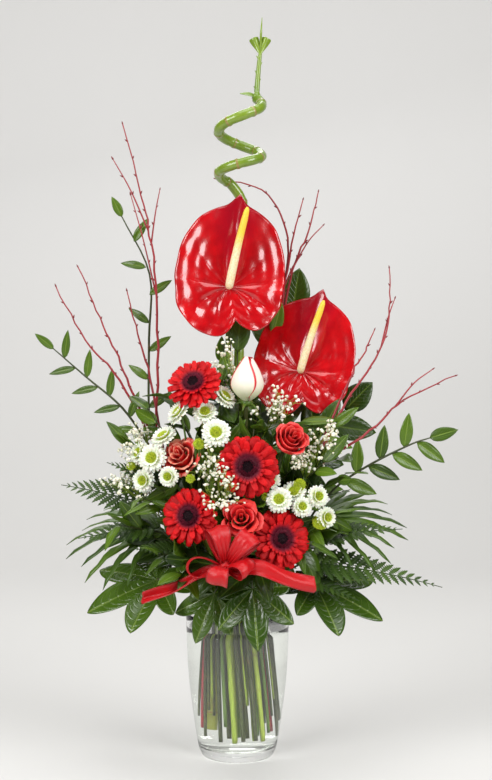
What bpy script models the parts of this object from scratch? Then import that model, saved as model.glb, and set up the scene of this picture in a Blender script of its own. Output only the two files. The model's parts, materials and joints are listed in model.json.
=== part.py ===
"""Cut flowers in a clear glass vase: two anthuriums, a spiral bamboo stalk, gerberas, roses,
small chrysanthemums, gypsophila, red twigs, mixed foliage and a ribbon bow.

Lengths are in millimetres and are turned into metres when an object is made. The vase stands
on Z = 0 round the Z axis, and the bouquet faces -Y.
"""

import math
import random

import bmesh
import bpy
import numpy as np
from mathutils import Matrix, Vector
from mathutils.bvhtree import BVHTree

MM = 0.001
GAP = 0.35
HOLE_ROOM = 0.5
BLADE = 0.7
SEED = 7

VASE_HEIGHT = 160.0
VASE_WALL = 3.0
VASE_FLOOR = 11.0
FLOOR_RADIUS = 37.0
# Outer profile of the glass, as radius and height, from the standing ring to the rim.
VASE_OUTER = [(35.0, 0.0), (40.5, 2.5), (44.5, 15.0), (50.2, 53.0), (54.8, 93.0), (57.5, VASE_HEIGHT)]
VASE_SIDES = 24
WATER_HEIGHT = 145.0

# The stems pass through a round waist just above the rim and fan out below it in a slow twist.
WAIST_HEIGHT = 188.0
WAIST_RADIUS = 27.0
FOOT_LEVEL = 18.0
FOOT_SPREAD = 1.42
FOOT_TWIST = math.radians(25)

LEAF_GREEN = (0.035, 0.10, 0.022)
DARK_GREEN = (0.018, 0.055, 0.018)
LIGHT_GREEN = (0.16, 0.30, 0.05)
STEM_GREEN = (0.12, 0.20, 0.04)
BAMBOO_GREEN = (0.20, 0.33, 0.05)
DEEP_RED = (0.42, 0.004, 0.008)
BRIGHT_RED = (0.62, 0.006, 0.010)
ROSE_RED = (0.60, 0.02, 0.02)
CREAM = (0.85, 0.78, 0.55)
YELLOW = (0.86, 0.72, 0.15)
WHITE = (0.86, 0.88, 0.78)
MAROON = (0.06, 0.004, 0.006)
TWIG_RED = (0.30, 0.012, 0.02)

# Blooms: the middle of each, the way it faces, and its radius.
ANTHURIUMS = {
    "anthurium_high": dict(base=(-9, -20, 521), tip=(8, 22, 102), facing=(0.02, -1, 0.18), size=1.0),
    "anthurium_low": dict(base=(70, 0, 428), tip=(20, 24, 86), facing=(-0.16, -1, 0.22), size=0.93),
}
GERBERAS = {
    "gerbera_upper": dict(at=(-46, -70, 419), facing=(-0.22, -0.78, 0.58), radius=30),
    "gerbera_centre": dict(at=(11, -99, 333), facing=(0.03, -0.98, 0.16), radius=34),
    "gerbera_left": dict(at=(-50, -100, 281), facing=(-0.28, -0.92, 0.26), radius=31),
    "gerbera_right": dict(at=(46, -98, 257), facing=(0.34, -0.90, 0.20), radius=33),
}
ROSES = {
    "rose_bud": dict(at=(10, -62, 410), facing=(0.04, -0.22, 0.97), radius=16, height=40, open=0.25),
    "rose_left": dict(at=(-56, -66, 336), facing=(-0.35, -0.80, 0.48), radius=20, height=26, open=0.9),
    "rose_right": dict(at=(54, -80, 356), facing=(0.30, -0.80, 0.50), radius=18, height=26, open=0.8),
    "rose_low": dict(at=(5, -104, 276), facing=(-0.04, -0.90, 0.42), radius=19, height=22, open=1.0),
}
# Small chrysanthemum heads of the two sprays: place, facing and radius.
MUM_HEADS = {
    "mum_left_1": dict(at=(-22, -92, 368), facing=(-0.05, -0.93, 0.36), radius=16),
    "mum_left_2": dict(at=(-34, -74, 388), facing=(0.0, -0.80, 0.60), radius=14),
    "mum_left_3": dict(at=(-90, -78, 340), facing=(-0.30, -0.90, 0.30), radius=16),
    "mum_left_4": dict(at=(-99, -76, 316), facing=(-0.50, -0.85, 0.10), radius=13.5),
    "mum_left_5": dict(at=(-72, -92, 322), facing=(-0.30, -0.93, 0.10), radius=11.5),
    "mum_right_1": dict(at=(44, -97, 298), facing=(-0.05, -0.92, 0.38), radius=14.5),
    "mum_right_2": dict(at=(68, -92, 290), facing=(0.22, -0.92, 0.30), radius=11.5),
    "mum_right_3": dict(at=(85, -86, 300), facing=(0.45, -0.85, 0.30), radius=12.5),
}
MUM_BUTTONS = {
    "mum_spray_left": [((-40, -92, 356), 6.5), ((-49, -97, 320), 5), ((-113, -66, 330), 5)],
    "mum_spray_right": [((88, -86, 273), 9.5), ((66, -82, 312), 7), ((30, -92, 300), 4.5)],
}


def unit(vector):
    """A vector of length one in the same direction."""
    return Vector(vector).normalized()


def frame(origin, forward, facing):
    """A placing matrix: local +Y runs along forward, and local +Z turns towards facing."""
    along = unit(forward)
    across = along.cross(Vector(facing)).normalized()
    axes = Matrix((across, along, across.cross(along))).transposed()
    return Matrix.Translation(Vector(origin)) @ axes.to_4x4()


def smooth_path(points, per_span=4):
    """Points on a Catmull-Rom curve that passes through the given ones."""
    knots = [Vector(p) for p in points]
    knots = [knots[0] * 2 - knots[1]] + knots + [knots[-1] * 2 - knots[-2]]
    path = []
    for a, b, c, d in zip(knots, knots[1:], knots[2:], knots[3:]):
        for step in range(per_span):
            t = step / per_span
            path.append(0.5 * (2 * b + (c - a) * t + (2 * a - 5 * b + 4 * c - d) * t * t
                               + (3 * b - a - 3 * c + d) * t ** 3))
    path.append(knots[-2])
    return path


def along_path(path, share):
    """The point and the direction at a share of the length of a list of points."""
    lengths = [0.0]
    for a, b in zip(path, path[1:]):
        lengths.append(lengths[-1] + (b - a).length)
    wanted = share * lengths[-1]
    for i in range(len(path) - 1):
        if wanted <= lengths[i + 1] or i == len(path) - 2:
            span = max(lengths[i + 1] - lengths[i], 1e-6)
            return path[i].lerp(path[i + 1], (wanted - lengths[i]) / span), unit(path[i + 1] - path[i])


def tube(path, radii, fine=0):
    """A closed tube along a path: 4 sides, and 2 more for each step of fine."""
    if isinstance(radii, (int, float)):
        radii = [radii] * len(path)
    curve = bpy.data.curves.new("tube", "CURVE")
    curve.dimensions = "3D"
    curve.bevel_depth = 1
    curve.bevel_resolution = fine
    curve.use_fill_caps = True
    spline = curve.splines.new("POLY")
    spline.points.add(len(path) - 1)
    for point, place, radius in zip(spline.points, path, radii):
        point.co = (*place, 1)
        point.radius = radius
    holder = bpy.data.objects.new("tube", curve)
    mesh = bpy.data.meshes.new_from_object(holder)
    bpy.data.objects.remove(holder)
    bpy.data.curves.remove(curve)
    welded = bmesh.new()
    welded.from_mesh(mesh)
    bmesh.ops.remove_doubles(welded, verts=welded.verts, dist=0.001)
    bmesh.ops.recalc_face_normals(welded, faces=welded.faces)
    welded.to_mesh(mesh)
    welded.free()
    return mesh


def turned(profile, sides):
    """A solid turned round Z from a profile of radius and height that starts and ends on the axis."""
    shape = bmesh.new()
    points = [shape.verts.new((radius, 0, height)) for radius, height in profile]
    edges = [shape.edges.new(pair) for pair in zip(points, points[1:])]
    bmesh.ops.spin(shape, geom=points + edges, cent=(0, 0, 0), axis=(0, 0, 1),
                   angle=2 * math.pi, steps=sides, use_merge=True)
    bmesh.ops.remove_doubles(shape, verts=shape.verts, dist=0.01)
    return closed_mesh(shape)


def closed_mesh(shape):
    """A bmesh made a mesh, with its faces turned outwards."""
    bmesh.ops.triangulate(shape, faces=shape.faces)
    bmesh.ops.recalc_face_normals(shape, faces=shape.faces)
    if shape.calc_volume(signed=True) < 0:
        bmesh.ops.reverse_faces(shape, faces=shape.faces)
    mesh = bpy.data.meshes.new("piece")
    shape.to_mesh(mesh)
    shape.free()
    return mesh


def sheet(columns, rows, place, thickness=BLADE):
    """A thin closed sheet whose grid of points is put in place by a function of u and v in 0..1."""
    shape = bmesh.new()
    bmesh.ops.create_grid(shape, x_segments=columns, y_segments=rows, size=1)
    for vert in shape.verts:
        vert.co = place((vert.co.x + 1) / 2, (vert.co.y + 1) / 2)
    bmesh.ops.remove_doubles(shape, verts=shape.verts, dist=0.05)
    bmesh.ops.triangulate(shape, faces=shape.faces)
    bmesh.ops.solidify(shape, geom=shape.faces[:], thickness=thickness)
    return closed_mesh(shape)


def cut_sheet(outline, bend, thickness=BLADE):
    """A thin closed sheet cut to a flat outline in X and Y, then lifted by bend(x, y)."""
    shape = bmesh.new()
    face = shape.faces.new([shape.verts.new((x, y, 0)) for x, y in outline])
    face.normal_update()
    bmesh.ops.triangulate(shape, faces=[face], ngon_method="EAR_CLIP")
    upper = bmesh.ops.extrude_face_region(shape, geom=shape.faces[:])
    raised = {v for v in upper["geom"] if isinstance(v, bmesh.types.BMVert)}
    for vert in shape.verts:
        vert.co.z = bend(vert.co.x, vert.co.y) + (thickness if vert in raised else 0)
    return closed_mesh(shape)


def placed(mesh, matrix):
    """The mesh after a matrix has moved it."""
    mesh.transform(matrix)
    return mesh


def combined(body, others, operation):
    """A mesh joined with others, or cut by them, by one Boolean on a collection."""
    group = bpy.data.collections.new("others")
    bpy.context.scene.collection.children.link(group)
    for other in others:
        group.objects.link(bpy.data.objects.new("other", other))
    holder = bpy.data.objects.new("body", body)
    bpy.context.scene.collection.objects.link(holder)
    boolean = holder.modifiers.new("boolean", "BOOLEAN")
    boolean.operation = operation
    boolean.operand_type = "COLLECTION"
    boolean.collection = group
    boolean.solver = "MANIFOLD"
    depsgraph = bpy.context.evaluated_depsgraph_get()
    result = bpy.data.meshes.new_from_object(holder.evaluated_get(depsgraph))
    for thing in list(group.objects) + [holder]:
        bpy.data.objects.remove(thing)
    bpy.data.collections.remove(group)
    return result


def fused(meshes):
    """Meshes joined into one body."""
    return combined(meshes[0], meshes[1:], "UNION") if len(meshes) > 1 else meshes[0]


def finish(name):
    """The material of that name, made once."""
    colour, roughness = FINISHES[name]
    material = bpy.data.materials.get(name)
    if material is None:
        material = bpy.data.materials.new(name)
        material.use_nodes = True
        shader = material.node_tree.nodes["Principled BSDF"]
        shader.inputs["Base Color"].default_value = (*colour, 1)
        shader.inputs["Roughness"].default_value = roughness
        if name in ("clear_glass", "clear_water"):
            shader.inputs["Transmission Weight"].default_value = 1
    return material


FINISHES = {
    "clear_glass": ((0.95, 0.97, 0.97), 0.02), "clear_water": ((0.93, 0.96, 0.94), 0.02),
    "bamboo_skin": (BAMBOO_GREEN, 0.35), "spathe_red": (DEEP_RED, 0.12),
    "spadix_yellow": (YELLOW, 0.5), "petal_red": (BRIGHT_RED, 0.5), "disc_maroon": (MAROON, 0.8),
    "rose_red": (ROSE_RED, 0.5), "rose_cream": (CREAM, 0.5), "mum_white": (WHITE, 0.55),
    "stem_green": (STEM_GREEN, 0.5), "button_green": (LIGHT_GREEN, 0.6),
    "gypsophila_white": (WHITE, 0.6), "twig_bark": (TWIG_RED, 0.45), "leaf_green": (LEAF_GREEN, 0.35),
    "leaf_dark": (DARK_GREEN, 0.35), "ribbon_red": (BRIGHT_RED, 0.3),
}

MADE = {}


def bounds_of(mesh):
    """Lowest and highest corner of a mesh."""
    places = np.array([v.co[:] for v in mesh.vertices])
    return places.min(axis=0), places.max(axis=0)


def tree_of(mesh):
    """The search tree that tells whether two meshes cross."""
    return BVHTree.FromPolygons([v.co[:] for v in mesh.vertices],
                                [p.vertices[:] for p in mesh.polygons])


def add(name, mesh, finish_name):
    """Keep a finished mesh as a named object of the bouquet."""
    MADE[name] = (tree_of(mesh), *bounds_of(mesh))
    mesh = mesh.copy()
    mesh.name = name
    mesh.transform(Matrix.Scale(MM, 4))
    mesh.materials.clear()
    mesh.materials.append(finish(finish_name))
    mesh.set_sharp_from_angle(angle=math.radians(40))
    thing = bpy.data.objects.new(name, mesh)
    BOUQUET.objects.link(thing)
    return thing


def is_clear(mesh):
    """Whether a mesh crosses nothing that is already in the bouquet."""
    low, high = bounds_of(mesh)
    tree = tree_of(mesh)
    for other, other_low, other_high in MADE.values():
        near = (low < other_high + GAP).all() and (high > other_low - GAP).all()
        if near and tree.overlap(other):
            return False
    return True


def facing_frame(at, facing):
    """A placing matrix whose local +Z looks along facing and whose local +Y is as upright as can be."""
    outward = unit(facing)
    upright = Vector((0, 0, 1)) if abs(outward.z) < 0.95 else Vector((0, 1, 0))
    return frame(at, upright - outward * upright.dot(outward), outward)


def inner_profile():
    """Inside of the glass from the rim down to the middle of its floor."""
    wall = [(radius - VASE_WALL, height) for radius, height in VASE_OUTER if height > VASE_FLOOR]
    return wall[::-1] + [(FLOOR_RADIUS, VASE_FLOOR + 0.8), (0.0, VASE_FLOOR)]


def build_vase():
    """The glass: one turned shell with a thick floor, open at the top."""
    rim = [(VASE_OUTER[-1][0] - 0.9, VASE_HEIGHT + 0.8), (VASE_OUTER[-1][0] - 2.1, VASE_HEIGHT + 0.8)]
    add("vase", turned([(0.0, 0.0)] + VASE_OUTER + rim + inner_profile(), VASE_SIDES), "clear_glass")


def waist_to_foot(waist, height):
    """Where a stem that passes the waist at a point is at a height below it."""
    share = (WAIST_HEIGHT - height) / (WAIST_HEIGHT - FOOT_LEVEL)
    x, y = waist[0], waist[1]
    turned_x = FOOT_SPREAD * (x * math.cos(FOOT_TWIST) - y * math.sin(FOOT_TWIST))
    turned_y = FOOT_SPREAD * (x * math.sin(FOOT_TWIST) + y * math.cos(FOOT_TWIST))
    return Vector((x + (turned_x - x) * share, y + (turned_y - y) * share, height))


# Every stem that reaches the water: its top, the way it heads there, its radius and its foot's height.
STEMS = {
    "bamboo_stalk": dict(top=(5, 29, 596), heading=(0, 0, 1), radius=6.4, foot=32, waist=(-15, 6)),
    "mum_spray_left": dict(top=(-42, -48, 282), heading=(-0.5, -0.5, 0.8), radius=2.0, foot=40),
    "mum_spray_right": dict(top=(50, -58, 246), heading=(0.4, -0.5, 0.8), radius=2.0, foot=30),
    "gypsophila_upper": dict(top=(18, -30, 345), heading=(0.1, -0.2, 1), radius=1.1, foot=60),
    "gypsophila_right": dict(top=(72, -55, 300), heading=(0.4, -0.1, 1), radius=1.1, foot=66),
    "gypsophila_left": dict(top=(-84, -42, 272), heading=(-0.6, -0.3, 0.8), radius=1.1, foot=70),
    "gypsophila_front": dict(top=(-12, -72, 272), heading=(-0.1, -0.5, 1), radius=1.1, foot=64),
    "twigs_left": dict(top=(-90, 2, 352), heading=(-0.2, 0, 1), radius=1.7, foot=34),
    "twigs_right": dict(top=(86, -52, 335), heading=(0.6, 0, 0.8), radius=1.7, foot=28),
    "twigs_back": dict(top=(46, 46, 472), heading=(0.1, 0, 1), radius=1.6, foot=44),
    "ruscus_left": dict(top=(-94, -24, 345), heading=(-0.6, 0, 0.8), radius=1.4, foot=50),
    "ruscus_high": dict(top=(-99, 26, 372), heading=(-0.05, 0, 1), radius=1.4, foot=46),
    "ruscus_right": dict(top=(112, -22, 306), heading=(0.8, 0, 0.5), radius=1.4, foot=52),
    "fern_left": dict(top=(-90, -42, 284), heading=(-0.8, -0.1, 0.5), radius=1.5, foot=56),
    "fern_right": dict(top=(72, -58, 226), heading=(0.9, -0.3, 0.25), radius=1.5, foot=48),
    "palm_left": dict(top=(-84, -16, 252), heading=(-0.9, 0, 0.35), radius=1.9, foot=26),
    "palm_right": dict(top=(90, -12, 268), heading=(0.9, 0, 0.35), radius=1.9, foot=38),
    "aralia_front_left": dict(top=(-18, -66, 208), heading=(-0.4, -0.9, 0.15), radius=2.2, foot=24),
    "aralia_front_right": dict(top=(16, -68, 216), heading=(0.3, -0.9, 0.15), radius=2.2, foot=24),
    "aralia_left": dict(top=(-66, -44, 212), heading=(-0.9, -0.4, 0.15), radius=2.2, foot=22),
    "aralia_right": dict(top=(64, -40, 208), heading=(0.85, -0.5, 0.15), radius=2.2, foot=22),
    "salal_back": dict(top=(24, 62, 300), heading=(0.1, 0.5, 1), radius=2.2, foot=30),
    "salal_side": dict(top=(66, 30, 330), heading=(0.5, 0.2, 1), radius=2.0, foot=36),
}
STEM_ROOM = 1.5
STEM_POINTS = 8
BRANCH_POINTS = 4
# How far behind a bloom's middle, and how far past its rim, other stems are kept.
BLOOM_BACK = 9.0
BLOOM_RIM = 3.0
# How strongly each round smooths a line, parts two lines and moves a line behind a bloom.
RELAX_ROUNDS = 500
SMOOTHING = 0.25
PARTING = 0.35
BACKING = 0.3


class Lines:
    """Stems and branches as lines of points, pushed apart until each has its room."""

    def __init__(self):
        self.points, self.held, self.level = [], [], []
        self.lines, self.families, self.radii = {}, {}, {}

    def add_line(self, name, family, places, radius, held_ends, joint=None):
        """A new line through some places, on from a point that exists if a joint is given."""
        line = [] if joint is None else [joint]
        for i, place in enumerate(places):
            self.points.append(Vector(place))
            self.held.append(i >= len(places) - held_ends)
            self.level.append(i == 0 and joint is None)
            line.append(len(self.points) - 1)
        self.lines[name], self.families[name], self.radii[name] = line, family, radius

    def runs(self, length):
        """The point numbers of every run of so many neighbours along the lines, one run a row."""
        return np.array([run for line in self.lines.values()
                         for run in zip(*(line[start:] for start in range(length)))])

    def of_spans(self, values):
        """A value of each line, given to each of its spans."""
        return np.array([values[name] for name, line in self.lines.items() for _ in line[1:]])

    def stands(self, name):
        """Whether a line is a stem of its own, from the waist up."""
        return self.level[self.lines[name][0]]

    def relax(self, blooms):
        """Smooth the lines, keep them apart and keep them behind the blooms."""
        points = np.array([p[:] for p in self.points])
        held, level = np.array(self.held), np.array(self.level)
        before, middle, after = self.runs(3).T
        spans = self.runs(2)
        reach, family = self.of_spans(self.radii), self.of_spans(self.families)
        first, second = np.triu_indices(len(spans), 1)
        strangers = family[first] != family[second]
        first, second = first[strangers], second[strangers]
        need = reach[first] + reach[second] + STEM_ROOM
        owner = np.full(len(points), "", dtype=family.dtype)
        owner[spans.T] = family
        waists = [self.lines[name][0] for name in self.lines if self.stands(name)]
        room = WAIST_RADIUS - np.array([self.radii[name] for name in self.lines if self.stands(name)])
        for _ in range(RELAX_ROUNDS):
            move = np.zeros_like(points)
            np.add.at(move, middle, SMOOTHING * ((points[before] + points[after]) / 2 - points[middle]))
            part_spans(points, spans[first], spans[second], need, move)
            keep_behind(points, owner, blooms, move)
            move[held] = 0
            move[level, 2] = 0
            points += move
            ring = np.linalg.norm(points[waists, :2], axis=1)
            points[waists, :2] *= np.minimum(1, room / np.maximum(ring, 1e-6))[:, None]
            points[self.lines["bamboo_stalk"][0], :2] = STEMS["bamboo_stalk"]["waist"]
        self.points = [Vector(p) for p in points]

    def path(self, name):
        """The places of a line, from its foot where it stands in the water."""
        line = [self.points[i] for i in self.lines[name]]
        if self.stands(name):
            line.insert(0, waist_to_foot(line[0], STEMS[name]["foot"]))
        return line


def part_spans(points, one, two, need, move):
    """Add to move what parts each pair of spans that lie closer than they need."""
    p, q = points[one[:, 0]], points[two[:, 0]]
    d, e, r = points[one[:, 1]] - p, points[two[:, 1]] - q, p - q
    dd, ee, de, dr, er = ((a * b).sum(axis=1) for a, b in ((d, d), (e, e), (d, e), (d, r), (e, r)))
    s = np.clip((de * er - dr * ee) / np.maximum(dd * ee - de * de, 1e-9), 0, 1)
    t = np.clip((de * s + er) / ee, 0, 1)
    s = np.clip((de * t - dr) / dd, 0, 1)
    offset = (p + d * s[:, None]) - (q + e * t[:, None])
    distance = np.maximum(np.linalg.norm(offset, axis=1), 1e-6)
    short = distance < need
    push = (offset / distance[:, None] * (PARTING * (need - distance))[:, None])[short]
    for pair, share, sign in ((one[short], s[short], 1), (two[short], t[short], -1)):
        np.add.at(move, pair[:, 0], sign * push * (1 - share[:, None]))
        np.add.at(move, pair[:, 1], sign * push * share[:, None])


def keep_behind(points, owner, blooms, move):
    """Add to move what brings other stems behind the back of each bloom."""
    for name, (centre, facing, radius) in blooms.items():
        away = points - centre
        depth = away @ facing
        ring = np.linalg.norm(away - depth[:, None] * facing, axis=1)
        hit = (ring < radius + BLOOM_RIM) & (depth > -BLOOM_BACK) & (depth < radius) & (owner != name)
        move[hit] -= (BACKING * (depth[hit] + BLOOM_BACK))[:, None] * facing


def bloom_backs():
    """For each bloom on a stem of its own: where the stem ends, its heading and the bloom's disc."""
    ends, discs = {}, {}
    for name, place in ANTHURIUMS.items():
        matrix = frame(place["base"], place["tip"], place["facing"])
        outward = matrix.to_3x3() @ Vector((0, 0, 1))
        ends[name] = (Vector(place["base"]) - outward * 2.0, outward, 3.0, 24)
        middle = Vector(place["base"]) + Vector(place["tip"]) * 0.2
        discs[name] = (np.array(middle), np.array(outward), 62 * place["size"])
    for name, place in GERBERAS.items():
        outward = unit(place["facing"])
        ends[name] = (Vector(place["at"]) - outward * 6.6, outward, 2.6, 22)
        discs[name] = (np.array(place["at"]), np.array(outward), place["radius"])
    for name, place in ROSES.items():
        outward = unit(place["facing"])
        ends[name] = (Vector(place["at"]) - outward * 6.6, outward, 2.5, 26)
        discs[name] = (np.array(place["at"]), np.array(outward), place["radius"])
    for name, place in MUM_HEADS.items():
        outward = unit(place["facing"])
        discs[name] = (np.array(place["at"]), np.array(outward), place["radius"])
    return ends, discs


def stem_curve(waist, top, heading):
    """Points on a curve that leads a stem from the waist to its top."""
    reach = (top - waist).length
    low = waist + Vector((waist.x * 0.004, waist.y * 0.004, 0.35)) * reach
    high = top - heading * 0.3 * reach
    points = []
    for step in range(STEM_POINTS):
        t = step / (STEM_POINTS - 1)
        points.append(waist * (1 - t) ** 3 + low * (3 * t * (1 - t) ** 2)
                      + high * (3 * t * t * (1 - t)) + top * t ** 3)
    points[-2] = top - heading * 12
    return points


def plan_stems():
    """Lead every stem from the water through the waist to its bloom or branches, none touching."""
    ends, discs = bloom_backs()
    plans = {name: (Vector(stem["top"]), unit(stem["heading"]), stem["radius"], stem["foot"])
             for name, stem in STEMS.items()}
    plans.update(ends)
    lines = Lines()
    for name, (top, heading, radius, foot) in plans.items():
        STEMS.setdefault(name, dict(foot=foot, radius=radius))
        lean = Vector((top.x, top.y, 0)) * (38.0 / max(top.z - WAIST_HEIGHT, 30.0))
        waist = Vector(STEMS[name].get("waist", lean.xy)).to_3d()
        if waist.length > WAIST_RADIUS - radius:
            waist = waist.normalized() * (WAIST_RADIUS - radius)
        waist.z = WAIST_HEIGHT
        lines.add_line(name, name, stem_curve(waist, top, heading), radius, 2)
    for name in MUM_BUTTONS:
        plan_branches(name, lines)
    lines.relax(discs)
    for name in lines.lines:
        mesh = tube(lines.path(name), lines.radii[name])
        MADE[f"{name} stem"] = (tree_of(mesh), *bounds_of(mesh))
    return lines


def plan_branches(name, lines):
    """The branches of a chrysanthemum spray, to its heads and its buttons."""
    side = name.split("_")[-1]
    for head, place in MUM_HEADS.items():
        if side in head:
            outward = unit(place["facing"])
            add_branch(lines, f"{head}_branch", name, Vector(place["at"]) - outward * 5.6, outward, 1.3)
    for number, (place, _) in enumerate(MUM_BUTTONS[name]):
        add_branch(lines, f"{name}_button_{number}", name, Vector(place), Vector((0, -0.5, 0.8)), 1.0)


def add_branch(lines, name, family, end, heading, radius):
    """A branch from the top of a spray's own stem to a head."""
    joint = lines.lines[family][-1]
    start = lines.points[joint]
    places = [start.lerp(end, step / (BRANCH_POINTS - 1)) for step in range(1, BRANCH_POINTS)]
    places[-2] = end - heading.normalized() * 8
    lines.add_line(name, family, places, radius, 2, joint)


def build_water(lines):
    """The water: a turned body with a plain hole for each stem that stands in it."""
    profile = [(radius - GAP, height) for radius, height in inner_profile()[1:-2] if height < WATER_HEIGHT]
    top = inner_radius(WATER_HEIGHT) - GAP
    low = VASE_FLOOR + 1.3
    profile = [(0.0, WATER_HEIGHT), (top, WATER_HEIGHT)] + profile
    profile += [(FLOOR_RADIUS - 1, low + 0.6), (0.0, low)]
    holes = []
    for name in lines.lines:
        if not lines.stands(name):
            continue
        path = lines.path(name)
        down = unit(path[0] - path[1])
        fine = 1 if name == "bamboo_stalk" else 0
        holes.append(tube([path[0] + down * GAP, path[1]], lines.radii[name] + HOLE_ROOM, fine))
    add("water", combined(turned(profile[::-1], VASE_SIDES), holes, "DIFFERENCE"), "clear_water")


def inner_radius(height):
    """Inner radius of the glass at a height."""
    heights = [h for _, h in VASE_OUTER]
    radii = [r for r, _ in VASE_OUTER]
    return float(np.interp(height, heights, radii)) - VASE_WALL


# The spiral of the bamboo: its axis, its radius, and the height at each angle of the turn in degrees.
SPIRAL_AXIS = (3.0, 4.0)
SPIRAL_RADIUS = 23.5
SPIRAL_RISE = [(-600, 636), (-540, 645), (-360, 664), (-180, 691), (0, 719), (40, 728)]
SPIRAL_STEP = 40.0
SPIRAL_ENTRY = (5, 28, 616)
BAMBOO_RADIUS = 5.6
BAMBOO_RING = 1.13
RING_SPACING = 58.0


def bamboo_path(lower):
    """The middle of the stalk and its radius at each point, which swells at every ring."""
    path, radii = [lower[0]], [BAMBOO_RADIUS]
    for a, b in zip(lower, lower[1:]):
        rings = int((b - a).length // RING_SPACING)
        for ring in range(1, rings + 1):
            place = a.lerp(b, ring / (rings + 1))
            path += [place, place + unit(b - a) * 2]
            radii += [BAMBOO_RADIUS * BAMBOO_RING, BAMBOO_RADIUS]
        path.append(b)
        radii.append(BAMBOO_RADIUS)
    angles = np.arange(SPIRAL_RISE[0][0], SPIRAL_RISE[-1][0] + 1, SPIRAL_STEP)
    heights = np.interp(angles, *zip(*SPIRAL_RISE))
    spiral = [Vector((SPIRAL_AXIS[0] + SPIRAL_RADIUS * math.cos(math.radians(a)),
                      SPIRAL_AXIS[1] + SPIRAL_RADIUS * math.sin(math.radians(a)), z))
              for a, z in zip(angles, heights)]
    bend = smooth_path([lower[-1], Vector(SPIRAL_ENTRY), spiral[0], spiral[1]], 2)[1:-3]
    radii += [BAMBOO_RADIUS] * len(bend)
    radii += [BAMBOO_RADIUS * (BAMBOO_RING if i % 4 == 2 else 1) for i in range(len(spiral))]
    return path + bend + spiral, radii


def stub_place(u, v):
    """The function that puts a grid point on a cut-off leaf base, folded and wider towards its end."""
    return Vector(((u - 0.5) * (5 + 7 * v), 21 * v, 1.5 - 3 * abs(u - 0.5)))


def build_bamboo(lines):
    """The bamboo stalk: ringed, with a turn and a half of spiral, a cut end and one leafy shoot."""
    path, radii = bamboo_path(stem_path("bamboo_stalk", lines))
    pieces = [tube(path, radii, fine=1)]
    bud = path[-1] + Vector((0, 0, 2))
    shoot = [bud, bud + Vector((1, 2, 16)), bud + Vector((2.5, 3, 34)), bud + Vector((4, 4, 48))]
    pieces.append(tube(shoot, [3.2, 2.6, 2.3, 2.2]))
    for number in range(4):
        at, _ = along_path(shoot, 0.2 + 0.2 * number)
        side = Vector((1 if number % 2 else -1, 0.2, 0.9))
        pieces.append(tube([at, at + side * 5], [1.6, 0.5]))
    top = shoot[-1]
    for side in (-1, 1):
        leaf = sheet(2, 2, stub_place, 0.9)
        heading = Vector((0.42 * side, 0.1, 1))
        pieces.append(placed(leaf, frame(top - unit(heading) * 2, heading, (0, -1, 0.2))))
    pieces.append(tube([top, top + Vector((1, 0, 24)), top + Vector((2, 0, 39))], [1.5, 1.2, 0.5]))
    scale = blade_leaf(20, 9, 0.25, 0.2)
    pieces.append(placed(scale, frame(bud, (-0.9, -0.3, 0.3), (0, -0.6, 0.8))))
    add("bamboo_stalk", fused(pieces), "bamboo_skin")


# Outline of the spathe: the angle from its tip in degrees and the radius as a share of its length.
SPATHE_OUTLINE = [(0, 1.0), (6, 0.90), (14, 0.872), (24, 0.832), (36, 0.775), (47, 0.715), (57, 0.655),
                  (70, 0.612), (90, 0.562), (108, 0.575), (126, 0.57), (145, 0.565), (158, 0.555),
                  (167, 0.49), (180, 0.37)]
SPATHE_LENGTH = 104.0
SPATHE_RIDGES = 7
# How far the notch between the two lobes is turned to the right of the spathe's axis.
NOTCH_TURN = math.radians(15)


def spathe_place(size):
    """The function that puts a grid point on the heart-shaped, ridged spathe."""
    def place(u, v):
        angle = (u - 0.5) * 2 * math.pi
        reach = SPATHE_LENGTH * size * np.interp(abs(math.degrees(angle)), *zip(*SPATHE_OUTLINE)) * v
        seen = angle - NOTCH_TURN * (0.5 - 0.5 * math.cos(angle)) ** 3
        x, y = reach * math.sin(seen), reach * math.cos(seen)
        swell = math.sin(math.pi * min(v, 0.9)) ** 1.5 * (1 - 0.6 * math.cos(angle))
        ridge = 2.2 * size * math.cos(SPATHE_RIDGES * angle) * swell
        return Vector((x, y, ridge - 7.0 * (x / 60) ** 2 + 4.0 * v * v * max(0, -math.cos(angle))))
    return place


def build_anthurium(name, place, lines):
    """One anthurium: the spathe, the spadix that stands on it, and its stem."""
    matrix = frame(place["base"], place["tip"], place["facing"])
    size = place["size"]
    add(f"{name}_spathe", placed(sheet(28, 4, spathe_place(size), 1.0), matrix), "spathe_red")
    spine = [(0, 0, 1.1), (0.1, 0.5, 6), (3, 22, 14), (7, 48, 22), (11, 70, 28), (13, 82, 31)]
    radii = [3.0, 4.5, 4.5, 4.1, 3.4, 1.4]
    spadix = tube([Vector(p) * size for p in spine], [r * size for r in radii], fine=2)
    add(f"{name}_spadix", placed(spadix, matrix), "spadix_yellow")
    add_stem(f"{name}_stem", name, lines)


def add_stem(node, name, lines):
    """A stem as a node of its own."""
    MADE.pop(f"{name} stem")
    add(node, tube(lines.path(name), lines.radii[name]), "stem_green")


# Corners of a petal of a gerbera's two rings: offset as a share of the step, and share of the radius.
OUTER_PETAL = [(-0.5, 0.50), (-0.20, 0.97), (0.20, 0.97)]
INNER_PETAL = [(-0.5, 0.52), (0.0, 1.0)]


def whorl(count, radius, corners, bend, turn=0.0):
    """A ring of petals cut from one thin sheet."""
    outline = []
    step = 2 * math.pi / count
    for petal in range(count):
        for offset, share in corners:
            angle = (petal + offset) * step + turn
            outline.append((radius * share * math.cos(angle), radius * share * math.sin(angle)))
    return cut_sheet(outline, bend)


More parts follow.
